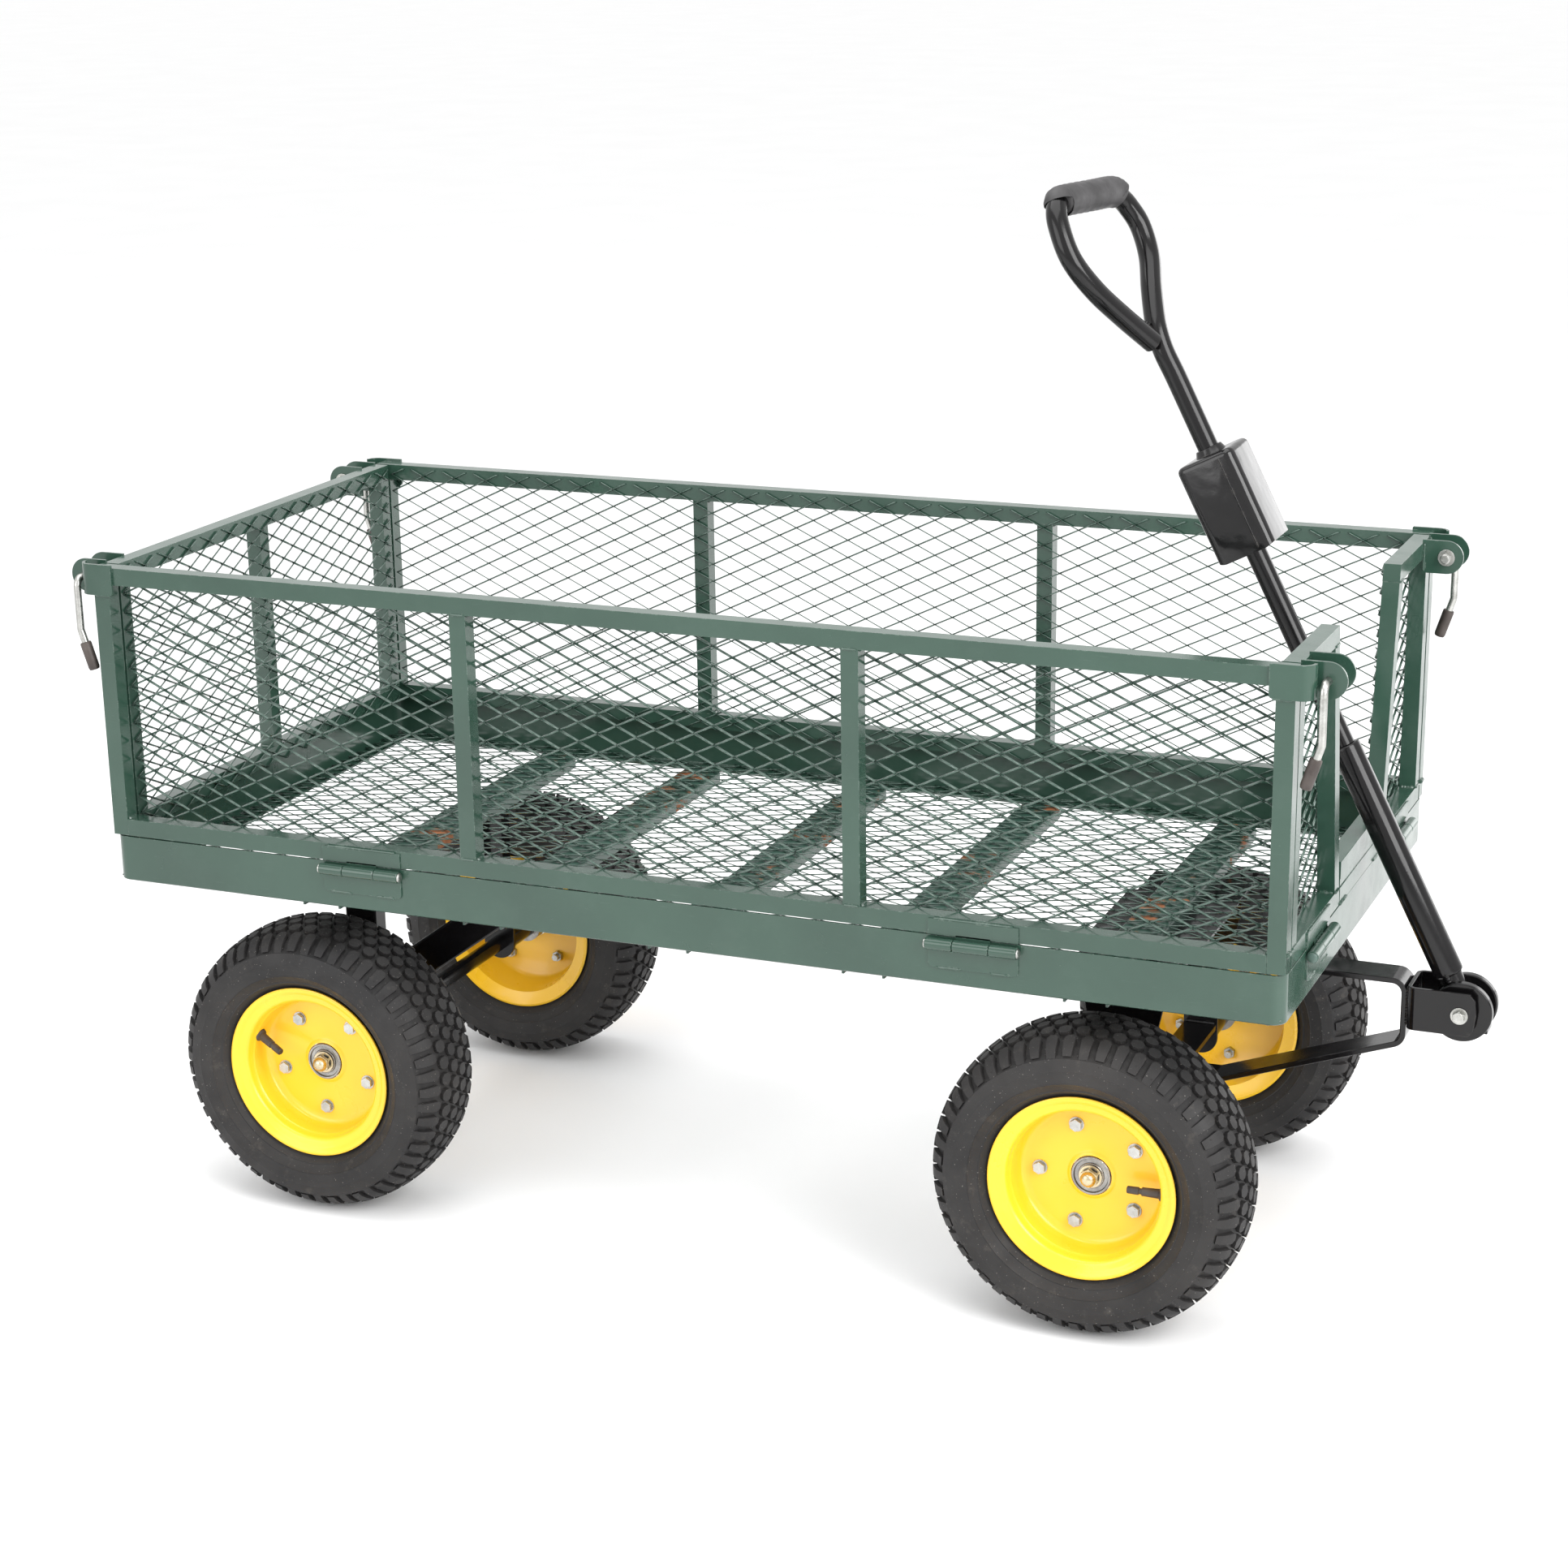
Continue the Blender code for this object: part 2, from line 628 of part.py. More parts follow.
def rear_leg(side):
    """An upright channel from the floor to the rear axle, with a channel brace running up and ahead."""
    half = 0.019
    section = channel_outline(REAR_AXLE_X, half, 0.160, 0.138, 0.003)
    leg = plate([(x, side * y) for x, y in section], "xy", 0.185, 0.3482)
    low, high = sorted((side * 0.1555, side * 0.1605))
    lug = plate(lug_outline(REAR_AXLE_X, 0.0195, 0.215), "xz", low, high)
    foot, head = Vector((-0.420, 0, 0.205)), Vector((-0.212, 0, 0.356))
    along = (head - foot).normalized()
    across = Vector((along.z, 0, -along.x))
    turn = Matrix((across, Vector((0, side, 0)), along)).transposed().to_4x4()
    section = channel_outline(0.0, 0.0185, 0.1594, 0.1386, 0.0026)
    brace = plate(section, "xy", 0.0, (head - foot).length)
    placed(brace, Matrix.Translation(foot) @ turn)
    above = box((-0.5, -0.3, 0.3482), (0.0, 0.3, 0.40))
    cutters = [above, axle_bore(REAR_AXLE_X, side * 0.158)]
    piece(f"rear_leg_{SIDE_NAMES[side]}", BLACK, [leg, lug, brace], cutters)


def upright(low, high, radius, sides=12):
    """A round or many-sided bar on the kingpin's axis."""
    return rod((FRONT_AXLE_X, 0, low), (FRONT_AXLE_X, 0, high), radius, sides)


def truck():
    """The swivelling front carriage: top plate, two tapered legs, a cross bar and a spacer boss."""
    x = FRONT_AXLE_X
    shapes = [box((x - 0.055, -0.1515, 0.3395), (x + 0.055, 0.1515, 0.3437))]
    for side in (LEFT, RIGHT):
        outline = lug_outline(x, 0.019, 0.200)
        outline[:1] = [(x - 0.045, 0.3415), (x - 0.040, 0.300), (x - 0.019, 0.200)]
        outline[-1:] = [(x + 0.019, 0.200), (x + 0.040, 0.300), (x + 0.045, 0.3415)]
        low, high = sorted((side * 0.1475, side * 0.1510))
        shapes.append(plate(outline, "xz", low, high))
    shapes.append(box((x - 0.018, -0.1490, 0.1705), (x + 0.018, 0.1490, 0.1765)))
    shapes.append(upright(0.3168, 0.3410, 0.018))
    cutters = [upright(0.30, 0.36, KINGPIN_BORE)]
    cutters += [axle_bore(x, side * 0.149) for side in (LEFT, RIGHT)]
    piece("truck_frame", BLACK, shapes, cutters, (x, 0, AXLE_Z))


def kingpin_and_plate():
    x = FRONT_AXLE_X
    slab = box((x - 0.060, -0.070, 0.3440), (x + 0.060, 0.070, 0.3482))
    piece("pivot_plate", BLACK, [slab], [upright(0.33, 0.36, KINGPIN_BORE)])
    shapes = [
        upright(0.3040, 0.3570, KINGPIN_RADIUS),
        upright(0.3020, 0.3100, 0.0130, 6),
        upright(0.3485, 0.3560, 0.0130, 6),
    ]
    piece("kingpin", ZINC, shapes, pivot=(x, 0, 0.33))


def yoke():
    """A flat bar bent into the tongue: back from the clevis above and below the axle."""
    corners = [(0.395, 0, 0.3135), (0.689, 0, 0.3135), (0.689, 0, 0.2485)]
    corners += [(0.4955, 0, 0.1800), (0.412, 0, 0.1800)]
    path = [(point.x, point.z) for point in rounded_path(corners, 0.012)]
    bent = plate(strip_outline(path, 0.006), "xz", -0.020, 0.020)
    pivot = (FRONT_AXLE_X, 0, AXLE_Z)
    piece("tongue_yoke", BLACK, [bent], [upright(0.30, 0.33, KINGPIN_BORE)], pivot)


def clevis_cross(reach, radius, sides=12):
    """A bar on the clevis bolt's axis, reach to each side of the middle."""
    return rod((CLEVIS_X, -reach, CLEVIS_Z), (CLEVIS_X, reach, CLEVIS_Z), radius, sides)


def clevis():
    outline = [(0.6923, -0.0285), (0.762, -0.0285), (0.762, -0.0245), (0.6973, -0.0245)]
    outline += [(x, -y) for x, y in reversed(outline)]
    bracket = plate(outline, "xy", 0.266, 0.312)
    pivot = (CLEVIS_X, 0, CLEVIS_Z)
    piece("clevis", BLACK, [bracket], [clevis_cross(0.04, BOLT_BORE)], pivot)
    shapes = [clevis_cross(0.036, BOLT_RADIUS)]
    for side in (LEFT, RIGHT):
        start, stop = [(CLEVIS_X, side * y, CLEVIS_Z) for y in (0.0288, 0.0348)]
        shapes.append(rod(start, stop, 0.0095, 6))
    piece("clevis_bolt", ZINC, shapes, pivot=pivot)


# ---- draw handle


def on_handle(along, sideways=0.0, twist=0.0):
    """A point on the handle: along it from the clevis bolt, and sideways, turned by twist from Y."""
    up = Vector((-math.sin(HANDLE_LEAN), 0, math.cos(HANDLE_LEAN)))
    ahead = Vector((up.z, 0, -up.x))
    across = Vector((0, math.cos(twist), 0)) + math.sin(twist) * ahead
    return Vector((CLEVIS_X, 0, CLEVIS_Z)) + along * up + sideways * across


def lower_handle():
    shapes = [
        rod(on_handle(0.040), on_handle(LOWER_TOP), LOWER_RADIUS, 12),
        rod(on_handle(0.009), on_handle(0.060), 0.0125, 12),
        box((0.7600, -0.0130, 0.2575), (0.7725, 0.0130, 0.2720)),
    ]
    for side in (LEFT, RIGHT):
        start, stop = [(CLEVIS_X, side * y, CLEVIS_Z) for y in (0.0100, 0.0190)]
        shapes.append(rod(start, stop, FOOT_RADIUS, 20))
    bore = clevis_cross(0.04, BOLT_BORE)
    piece("handle_lower_tube", BLACK, shapes, [bore], (CLEVIS_X, 0, CLEVIS_Z))


LOOP_PATH = (
    (0.7170, -0.0010),
    (0.7373, 0.0034),
    (0.7527, 0.0107),
    (0.7786, 0.0274),
    (0.8083, 0.0490),
    (0.8380, 0.0572),
    (0.8600, 0.0515),
    (0.8710, 0.0445),
    (0.8795, 0.0350),
    (0.8893, -0.0550),
    (0.8870, -0.0680),
    (0.8695, -0.0794),
    (0.8356, -0.0845),
    (0.7997, -0.0697),
    (0.7651, -0.0433),
    (0.7480, -0.0282),
)
SLEEVE = ((0.87991, 0.0312), (0.88892, -0.0515))


def upper_handle():
    pivot = (CLEVIS_X, 0, CLEVIS_Z)
    path = [on_handle(LOWER_TOP + 0.0003), on_handle(0.690)]
    path += [on_handle(along, out, GRIP_TWIST) for along, out in LOOP_PATH]
    ferrule = [on_handle(0.7560, -0.0352, GRIP_TWIST), on_handle(0.7230, -0.0062, GRIP_TWIST)]
    shapes = [bent_rod(path, SHAFT_RADIUS, 4), rod(*ferrule, 0.0113, 12)]
    piece("handle_shaft", BLACK, shapes, pivot=pivot)
    ends = [on_handle(along, out, GRIP_TWIST) for along, out in SLEEVE]
    piece("handle_grip", VINYL, [tube(*ends, 0.0160, 0.0112, 12)], pivot=pivot)
    up = Vector((-math.sin(HANDLE_LEAN), 0, math.cos(HANDLE_LEAN)))
    turn = Matrix((Vector((up.z, 0, -up.x)), Vector((0, 1, 0)), up)).transposed().to_4x4()
    place = Matrix.Translation(on_handle(0.507)) @ turn
    outline = rounded_rectangle(0.0305, 0.0330, 0.006, 2)
    hollow = rounded_rectangle(0.0280, 0.0305, 0.004, 2)
    shell = placed(plate(outline, "xy", 0.0, 0.098), place)
    collar = rod(on_handle(0.602), on_handle(0.613), 0.0150, 12)
    cutters = [
        placed(plate(hollow, "xy", -0.010, 0.0955), place),
        rod(on_handle(0.580), on_handle(0.630), SHAFT_RADIUS + 0.0005, 12),
    ]
    piece("hitch_box", BLACK, [shell, collar], cutters, pivot)


def clear_scene():
    for leftover in list(bpy.data.objects):
        bpy.data.objects.remove(leftover)


clear_scene()
cart = bpy.data.collections.new("tow_behind_cart")
bpy.context.scene.collection.children.link(cart)
bed()
floor_channels()
hinge_pins()
rear_gate()
axle("rear_axle", REAR_AXLE_X, 0.1605)
axle("front_axle", FRONT_AXLE_X, 0.1510)
truck()
kingpin_and_plate()
yoke()
clevis()
lower_handle()
upper_handle()
for cart_side in (LEFT, RIGHT):
    side_panel(cart_side)
    front_half_gate(cart_side)
    rear_leg(cart_side)
    for cart_end in (FRONT, REAR):
        latch(cart_end, cart_side)
        wheel(cart_end, cart_side)
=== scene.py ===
"""Looks of the garden cart: fine meshes, materials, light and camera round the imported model."""

import math
import random

import bmesh
import bpy
from mathutils import Matrix, Quaternion, Vector


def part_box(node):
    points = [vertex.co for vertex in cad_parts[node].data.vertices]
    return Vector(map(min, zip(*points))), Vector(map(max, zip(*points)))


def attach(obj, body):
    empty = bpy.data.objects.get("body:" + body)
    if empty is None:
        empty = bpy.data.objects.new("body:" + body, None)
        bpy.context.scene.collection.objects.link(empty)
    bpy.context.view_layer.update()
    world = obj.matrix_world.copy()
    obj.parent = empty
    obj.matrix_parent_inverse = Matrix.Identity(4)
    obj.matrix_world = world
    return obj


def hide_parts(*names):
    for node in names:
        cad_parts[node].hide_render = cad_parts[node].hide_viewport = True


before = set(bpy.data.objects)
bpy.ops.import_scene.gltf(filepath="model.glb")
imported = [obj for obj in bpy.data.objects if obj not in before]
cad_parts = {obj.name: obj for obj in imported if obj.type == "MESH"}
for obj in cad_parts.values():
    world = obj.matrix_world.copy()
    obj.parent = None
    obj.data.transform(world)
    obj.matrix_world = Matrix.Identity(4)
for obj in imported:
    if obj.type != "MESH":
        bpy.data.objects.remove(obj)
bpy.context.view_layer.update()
random.seed(7)

SIDES = LEFT, RIGHT = 1, -1
ENDS = FRONT, REAR = 1, -1
SIDE_NAMES = {LEFT: "left", RIGHT: "right"}
END_NAMES = {FRONT: "front", REAR: "rear"}


def span(node, axis):
    low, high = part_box(node)
    return low[axis], high[axis]


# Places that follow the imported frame. X is counted from the middle of the bed.
DECK_X = sum(span("bed_floor_mesh", 0)) / 2
SKIRT_LOW, SKIRT_TOP = span("bed_frame", 2)
SILL_LOW, SILL_TOP = span("front_sill", 2)
FLOOR_LOW, FLOOR_TOP = span("bed_floor_mesh", 2)
MESH_LOW, MESH_TOP = span("left_side_mesh", 2)
HALF_LENGTH = span("front_sill", 0)[1] - DECK_X
CHANNEL_LOW = span("floor_channel_1", 2)[0]

# Bed and panels
HALF_WIDTH = 0.305
SKIRT_SHEET, SKIRT_CORNER, FLANGE = 0.0025, 0.014, 0.025
CHANNELS = [sum(span(f"floor_channel_{number}", 0)) / 2 - DECK_X for number in range(1, 6)]
CHANNEL_WIDTH, CHANNEL_TOP, CHANNEL_SHEET = 0.045, 0.3635, 0.0025
SILL_HALF = 0.0885
TUBE, PANEL_LOW, PANEL_TOP = 0.018, 0.4115, 0.702
RAIL_LOW, RAIL_TOP = PANEL_LOW + TUBE, PANEL_TOP - TUBE
NARROWER = 0.0002  # how much further in a post's faces lie than its rails'
SIDE_BAR_X = 0.2085
GATE_EDGE = 0.2835
NOTCH_LOW_Y, NOTCH_TOP_Y = 0.09, 0.135
LONG_PITCH, SHORT_PITCH = 0.042, 0.02
STRAND_SHEET = 0.001
PANEL_SLAT, FLOOR_SLAT = (0.00055, 0.00105), (0.00095, 0.00058)
SHEET_GAP = 0.004  # from a sheet's cut edge to the tube that it is welded to, or to the gate's edge
WELD_RIPPLE, WELD_OUT, TUBE_WELD, FACE_WELD = 0.0016, 0.0004, 0.0021, 0.0013

# Hinges and latches
HINGE_Z, HINGE_OUT, HINGE_HALF = 0.4035, 0.0065, 0.046
KNUCKLE_RADIUS, MIDDLE_KNUCKLE, LEAF_HALF = 0.006, 0.018, 0.0455
SIDE_HINGE_X, REAR_HINGE_Y, FRONT_HINGE_Y = 0.333, 0.165, 0.18
LATCH_X, LATCH_Z, LEVER_Y = 0.659, 0.687, 0.3
EAR_RADIUS, EAR_SHEET, EAR_Y = 0.0175, 0.003, (0.248, 0.28)

# Wheels and undercarriage
WHEEL_Y, AXLE_Z = 0.242, 0.16
FRONT_AXLE_X, REAR_AXLE_X = 0.437, -0.426
HUB_IN, HUB_OUT = span("hub_front_left", 1)
DISC_OUT = HUB_OUT - 0.0045 - WHEEL_Y
RIM_BOLTS, BOLT_CIRCLE = 5, 0.0535
LUGS, TREAD_RADIUS, BLOCK_DEPTH, SHOULDER = 54, 0.158, 0.0048, 0.06
MOULD_HAIRS, TYRE_ANGLE = 70, 38  # fine rubber hairs on the shoulder; sharp above this angle
UNDERSIDE = 0.3482  # the bed's underside, where the legs and the pivot plate end

# Tongue and handle
CLEVIS_X, CLEVIS_Z = 0.746, 0.288
HANDLE_LEAN, GRIP_TWIST = math.radians(26.9), math.radians(13)
SHAFT_RADIUS, LOWER_RADIUS, LOWER_TOP, HITCH_FOOT = 0.0105, 0.015, 0.291, 0.504


# ---- mesh tools: each adds to a bmesh, in metres, X from the middle of the bed


def add_box(solid, low, high, matrix=None):
    low, high = Vector(low), Vector(high)
    place = Matrix.Translation((low + high) / 2) @ Matrix.Diagonal((*(high - low), 1))
    bmesh.ops.create_cube(solid, size=1, matrix=(matrix or Matrix.Identity(4)) @ place)


def add_rod(solid, start, end, radius, sides=24, end_radius=None):
    start, end = Vector(start), Vector(end)
    along = end - start
    place = Matrix.Translation((start + end) / 2) @ along.to_track_quat("Z", "Y").to_matrix().to_4x4()
    far = radius if end_radius is None else end_radius
    bmesh.ops.create_cone(
        solid, cap_ends=True, segments=sides, radius1=radius, radius2=far, depth=along.length, matrix=place
    )


def add_loops(solid, loops, closed=False):
    """A skin over loops of equal length, closed round on itself or capped at its two ends."""
    rows = [[solid.verts.new(point) for point in loop] for loop in loops]
    for row, other in zip(rows, rows[1:] + (rows[:1] if closed else [])):
        for i in range(len(row)):
            j = (i + 1) % len(row)
            solid.faces.new((row[i], row[j], other[j], other[i]))
    if not closed:
        solid.faces.new(rows[0])
        solid.faces.new(rows[-1])


def add_path(solid, points, radius, sides=16):
    """A round bar along a path. The radius is one number, or one for each point."""
    points = [Vector(point) for point in points]
    radii = radius if isinstance(radius, list) else [radius] * len(points)
    steps = [(b - a).normalized() for a, b in zip(points, points[1:])]
    tangents = [steps[0]] + [(a + b).normalized() for a, b in zip(steps, steps[1:])] + [steps[-1]]
    angles = [2 * math.pi * i / sides for i in range(sides)]
    across = tangents[0].orthogonal().normalized()
    loops, before = [], tangents[0]
    for point, tangent, size in zip(points, tangents, radii):
        across = before.rotation_difference(tangent) @ across
        across = (across - tangent * across.dot(tangent)).normalized()
        other = tangent.cross(across)
        before = tangent
        loops.append([point + size * (math.cos(a) * across + math.sin(a) * other) for a in angles])
    add_loops(solid, loops)


def add_stations(solid, place, stations, sides):
    """A round bar through stations of (distance, radius). place turns a distance into a point."""
    add_path(solid, [place(reach) for reach, _ in stations], [radius for _, radius in stations], sides)


def add_stack(solid, place, *discs):
    """Discs on one axis, each (start, stop, radius, sides), with a second radius if it tapers."""
    for start, stop, *shape in discs:
        add_rod(solid, place(start), place(stop), *shape)


PLANES = {"xy": (0, 1, 2), "xz": (0, 2, 1), "yz": (1, 2, 0)}


def add_plate(solid, outline, plane, low, high, matrix=None):
    """A flat outline in the plane "xy", "xz" or "yz", thick from low to high."""
    a, b, across = PLANES[plane]
    loops = []
    for level in (low, high):
        loop = []
        for corner in outline:
            point = Vector((0, 0, 0))
            point[a], point[b], point[across] = corner[0], corner[1], level
            loop.append(matrix @ point if matrix else point)
        loops.append(loop)
    add_loops(solid, loops)


def add_side_plate(solid, outline, side, near, far):
    """An upright plate along the cart, from near to far out on one side."""
    add_plate(solid, outline, "xz", *sorted((side * near, side * far)))


def add_turned(solid, profile, centre, side, steps):
    """A profile of (radius, outward distance) turned about an axle along Y."""
    loops = []
    for i in range(steps):
        ray = spoke(2 * math.pi * i / steps)
        loops.append([Vector(centre) + Vector((0, side * out, 0)) + radius * ray for radius, out in profile])
    add_loops(solid, loops, closed=True)


def add_weld(solid, start, end, radius=0.0022):
    """A bead of weld with the ripples that its passes leave."""
    start, end = Vector(start), Vector(end)
    count = max(4, round((end - start).length / WELD_RIPPLE))
    points = [start.lerp(end, i / count) for i in range(count + 1)]
    radii = [radius * (0.86 + 0.22 * (i % 2) + random.uniform(-0.07, 0.07)) for i in range(count + 1)]
    radii[0] = radii[-1] = radius * 0.5
    add_path(solid, points, radii, 8)


def cut_away(solid, point, normal):
    """Removes what lies beyond a plane, and returns what the cut made."""
    everything = solid.verts[:] + solid.edges[:] + solid.faces[:]
    return bmesh.ops.bisect_plane(solid, geom=everything, plane_co=point, plane_no=normal, clear_outer=True)


def spoke(angle):
    """The unit vector at an angle about an axle along Y."""
    return Vector((math.cos(angle), 0, math.sin(angle)))


def arc(centre, radius, start, stop, steps):
    angles = [math.radians(start + (stop - start) * i / steps) for i in range(steps + 1)]
    return [(centre[0] + radius * math.cos(a), centre[1] + radius * math.sin(a)) for a in angles]


def rounded_rectangle(half_a, half_b, radius, steps=6, middle=(0, 0)):
    outline = []
    for quarter, (way_a, way_b) in enumerate(((1, 1), (-1, 1), (-1, -1), (1, -1))):
        centre = (middle[0] + way_a * (half_a - radius), middle[1] + way_b * (half_b - radius))
        outline += arc(centre, radius, 90 * quarter, 90 * (quarter + 1), steps)
    return outline


def rounded_path(points, radius, steps=6):
    """The path with each inner corner replaced by an arc."""
    points = [Vector(point) for point in points]
    path = [points[0]]
    for before, corner, after in zip(points, points[1:], points[2:]):
        back, ahead = (before - corner).normalized(), (after - corner).normalized()
        half = back.angle(ahead) / 2
        reach = radius / math.tan(half)
        centre = corner + (back + ahead).normalized() * radius / math.sin(half)
        start, stop = corner + back * reach - centre, corner + ahead * reach - centre
        turn = start.rotation_difference(stop)
        path += [centre + Quaternion().slerp(turn, i / steps) @ start for i in range(steps + 1)]
    path.append(points[-1])
    return path


def smooth_path(points, steps):
    """A smooth curve through the points."""
    points = [Vector(point) for point in points]
    padded = [2 * points[0] - points[1], *points, 2 * points[-1] - points[-2]]
    path = []
    for a, b, c, d in zip(padded, padded[1:], padded[2:], padded[3:]):
        for i in range(steps):
            t = i / steps
            bend, twist = 2 * a - 5 * b + 4 * c - d, 3 * b - a - 3 * c + d
            path.append(0.5 * (2 * b + (c - a) * t + bend * t**2 + twist * t**3))
    path.append(points[-1])
    return path


def strip_outline(path, thickness):
    """The outline of a strip of even thickness along a flat path of (a, b) points."""
    left, right = [], []
    for i, point in enumerate(path):
        before, after = path[max(i - 1, 0)], path[min(i + 1, len(path) - 1)]
        along = (Vector(after) - Vector(before)).normalized()
        normal = Vector((-along.y, along.x)) * thickness / 2
        left.append(tuple(Vector(point) + normal))
        right.append(tuple(Vector(point) - normal))
    return left + right[::-1]


def mirror(end, side):
    return Matrix.Diagonal((end, side, 1, 1))


def finished_mesh(name, solid, material, angle):
    """The collected shapes as a smooth mesh, sharp where its faces meet at more than the angle."""
    bmesh.ops.recalc_face_normals(solid, faces=solid.faces)
    mesh = bpy.data.meshes.new(name)
    solid.to_mesh(mesh)
    solid.free()
    mesh.materials.append(material)
    mesh.shade_smooth()
    mesh.set_sharp_from_angle(angle=math.radians(angle))
    return mesh


def show(name, data):
    obj = bpy.data.objects.new(name, data)
    bpy.context.scene.collection.objects.link(obj)
    return obj


def piece(name, solid, material, body, nodes, bevel=0, angle=32, matrix=None, mesh=None):
    """Turns the collected shapes into one finished piece that rides on its body."""
    if mesh is None:
        if matrix is not None:
            solid.transform(matrix)
        solid.transform(Matrix.Translation((DECK_X, 0, 0)))
        mesh = finished_mesh(name, solid, material, angle)
    obj = show(name, mesh)
    if bevel:
        edge = obj.modifiers.new("edges", "BEVEL")
        edge.width = bevel
        edge.segments = 2
        edge.limit_method = "ANGLE"
        edge.angle_limit = math.radians(angle)
        edge.harden_normals = True
    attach(obj, body)
    if nodes:
        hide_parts(*nodes)
    return obj


# ---- materials


class Nodes:
    """A short way to write a material's node tree."""

    def __init__(self, name):
        self.material = bpy.data.materials.new(name)
        self.material.use_nodes = True
        self.tree = self.material.node_tree
        self.shader = self.tree.nodes["Principled BSDF"]
        self.place = self.add("ShaderNodeTexCoord").outputs["Object"]

    def add(self, kind, inputs=None, **settings):
        node = self.tree.nodes.new(kind)
        for key, value in settings.items():
            setattr(node, key, value)
        for key, value in (inputs or {}).items():
            self.put(node.inputs[key], value)
        return node

    def put(self, socket, value):
        if isinstance(value, bpy.types.NodeSocket):
            self.tree.links.new(value, socket)
        else:
            socket.default_value = value

    def noise(self, scale, detail=3.0, roughness=0.55, stretch=None):
        place = self.place
        if stretch:
            place = self.add("ShaderNodeMapping", {0: place, "Scale": stretch}).outputs[0]
        inputs = {"Vector": place, "Scale": scale, "Detail": detail, "Roughness": roughness}
        return self.add("ShaderNodeTexNoise", inputs).outputs["Fac"]

    def ramp(self, value, low, high, start=0.0, stop=1.0):
        inputs = {"Value": value, 1: low, 2: high, 3: start, 4: stop}
        return self.add("ShaderNodeMapRange", inputs, clamp=True).outputs[0]

    def math(self, operation, a, b):
        return self.add("ShaderNodeMath", {0: a, 1: b}, operation=operation).outputs[0]

    def mix(self, share, a, b):
        inputs = {0: share, 6: a, 7: b}
        return self.add("ShaderNodeMix", inputs, data_type="RGBA").outputs[2]

    def bump(self, height, strength, distance, below=None):
        inputs = {"Height": height, "Strength": strength, "Distance": distance}
        if below is not None:
            inputs["Normal"] = below
        return self.add("ShaderNodeBump", inputs).outputs[0]

    def edges(self, radius):
        """1 where the surface turns over an edge, 0 on flats."""
        soft = self.add("ShaderNodeBevel", {"Radius": radius}, samples=4).outputs[0]
        hard = self.add("ShaderNodeNewGeometry").outputs["Normal"]
        dot = self.add("ShaderNodeVectorMath", {0: soft, 1: hard}, operation="DOT_PRODUCT").outputs["Value"]
        return self.ramp(dot, 0.995, 0.9)

    def surface(self, **values):
        for key, value in values.items():
            self.put(self.shader.inputs[key.replace("_", " ").title()], value)


def enamel(
    name, colour, shade, dust, worn, roughness,
    edge=0.0016, coat=0.2, haze=0.09, wear=0.4, dent=0.2, gloss=0.5,
):
    """Sprayed gloss paint: cloudy colour, dust, fine scratches and rubbed edges."""
    n = Nodes(name)
    clouds = n.ramp(n.noise(7.0, 4.0), 0.35, 0.68)
    colour = n.mix(clouds, colour, shade)
    film = n.ramp(n.noise(16.0, 6.0, 0.65), 0.5, 0.8, 0.0, haze)
    colour = n.mix(film, colour, dust)
    scratches = n.ramp(n.noise(60.0, 2.0, 0.5, (1.0, 1.0, 14.0)), 0.69, 0.75, 0.0, haze)
    colour = n.mix(scratches, colour, dust)
    chips = n.ramp(n.noise(95.0, 4.0, 0.7), 0.52, 0.6)
    rubbed = n.math("MULTIPLY", n.math("MULTIPLY", n.edges(edge), chips), wear)
    colour = n.mix(rubbed, colour, worn)
    rough = n.ramp(n.noise(22.0, 5.0, 0.6), 0.3, 0.75, roughness - 0.06, roughness + 0.1)
    rough = n.math("ADD", rough, n.math("MULTIPLY", rubbed, 0.3))
    peel = n.bump(n.noise(240.0, 2.0), 0.1, 0.0004)
    dents = n.bump(n.noise(11.0 + 16.0 * dent, 2.0), dent, 0.0012, peel)
    n.surface(base_color=colour, roughness=rough, normal=dents, coat_weight=coat, coat_roughness=0.08)
    n.shader.inputs["Specular IOR Level"].default_value = gloss
    return n.material


def plated(name, colour, dull, roughness):
    """Zinc or chrome plate: brushed, blotchy, with a little yellow passivation."""
    n = Nodes(name)
    blotch = n.ramp(n.noise(70.0, 5.0, 0.65), 0.35, 0.7)
    grain = n.noise(420.0, 2.0, 0.5, (1.0, 0.15, 1.0))
    rough = n.ramp(grain, 0.25, 0.75, roughness - 0.08, roughness + 0.14)
    n.surface(base_color=n.mix(blotch, colour, dull), metallic=1.0, roughness=rough)
    n.surface(normal=n.bump(grain, 0.12, 0.0002))
    return n.material


def rusty(name, paint, rust):
    """Paint that has let rust through in patches."""
    n = Nodes(name)
    patches = n.ramp(n.noise(15.0, 6.0, 0.68), 0.585, 0.635)
    paint = n.mix(n.ramp(n.noise(9.0, 3.0), 0.4, 0.7), paint, tuple(0.7 * c for c in paint[:3]) + (1,))
    orange = n.mix(n.noise(130.0, 4.0), rust, tuple(0.35 * c for c in rust[:3]) + (1,))
    rough = n.ramp(patches, 0.0, 1.0, 0.36, 0.88)
    n.surface(base_color=n.mix(patches, paint, orange), roughness=rough)
    grit = n.math("MULTIPLY", patches, n.noise(300.0, 3.0))
    n.surface(normal=n.bump(grit, 0.5, 0.0006))
    return n.material


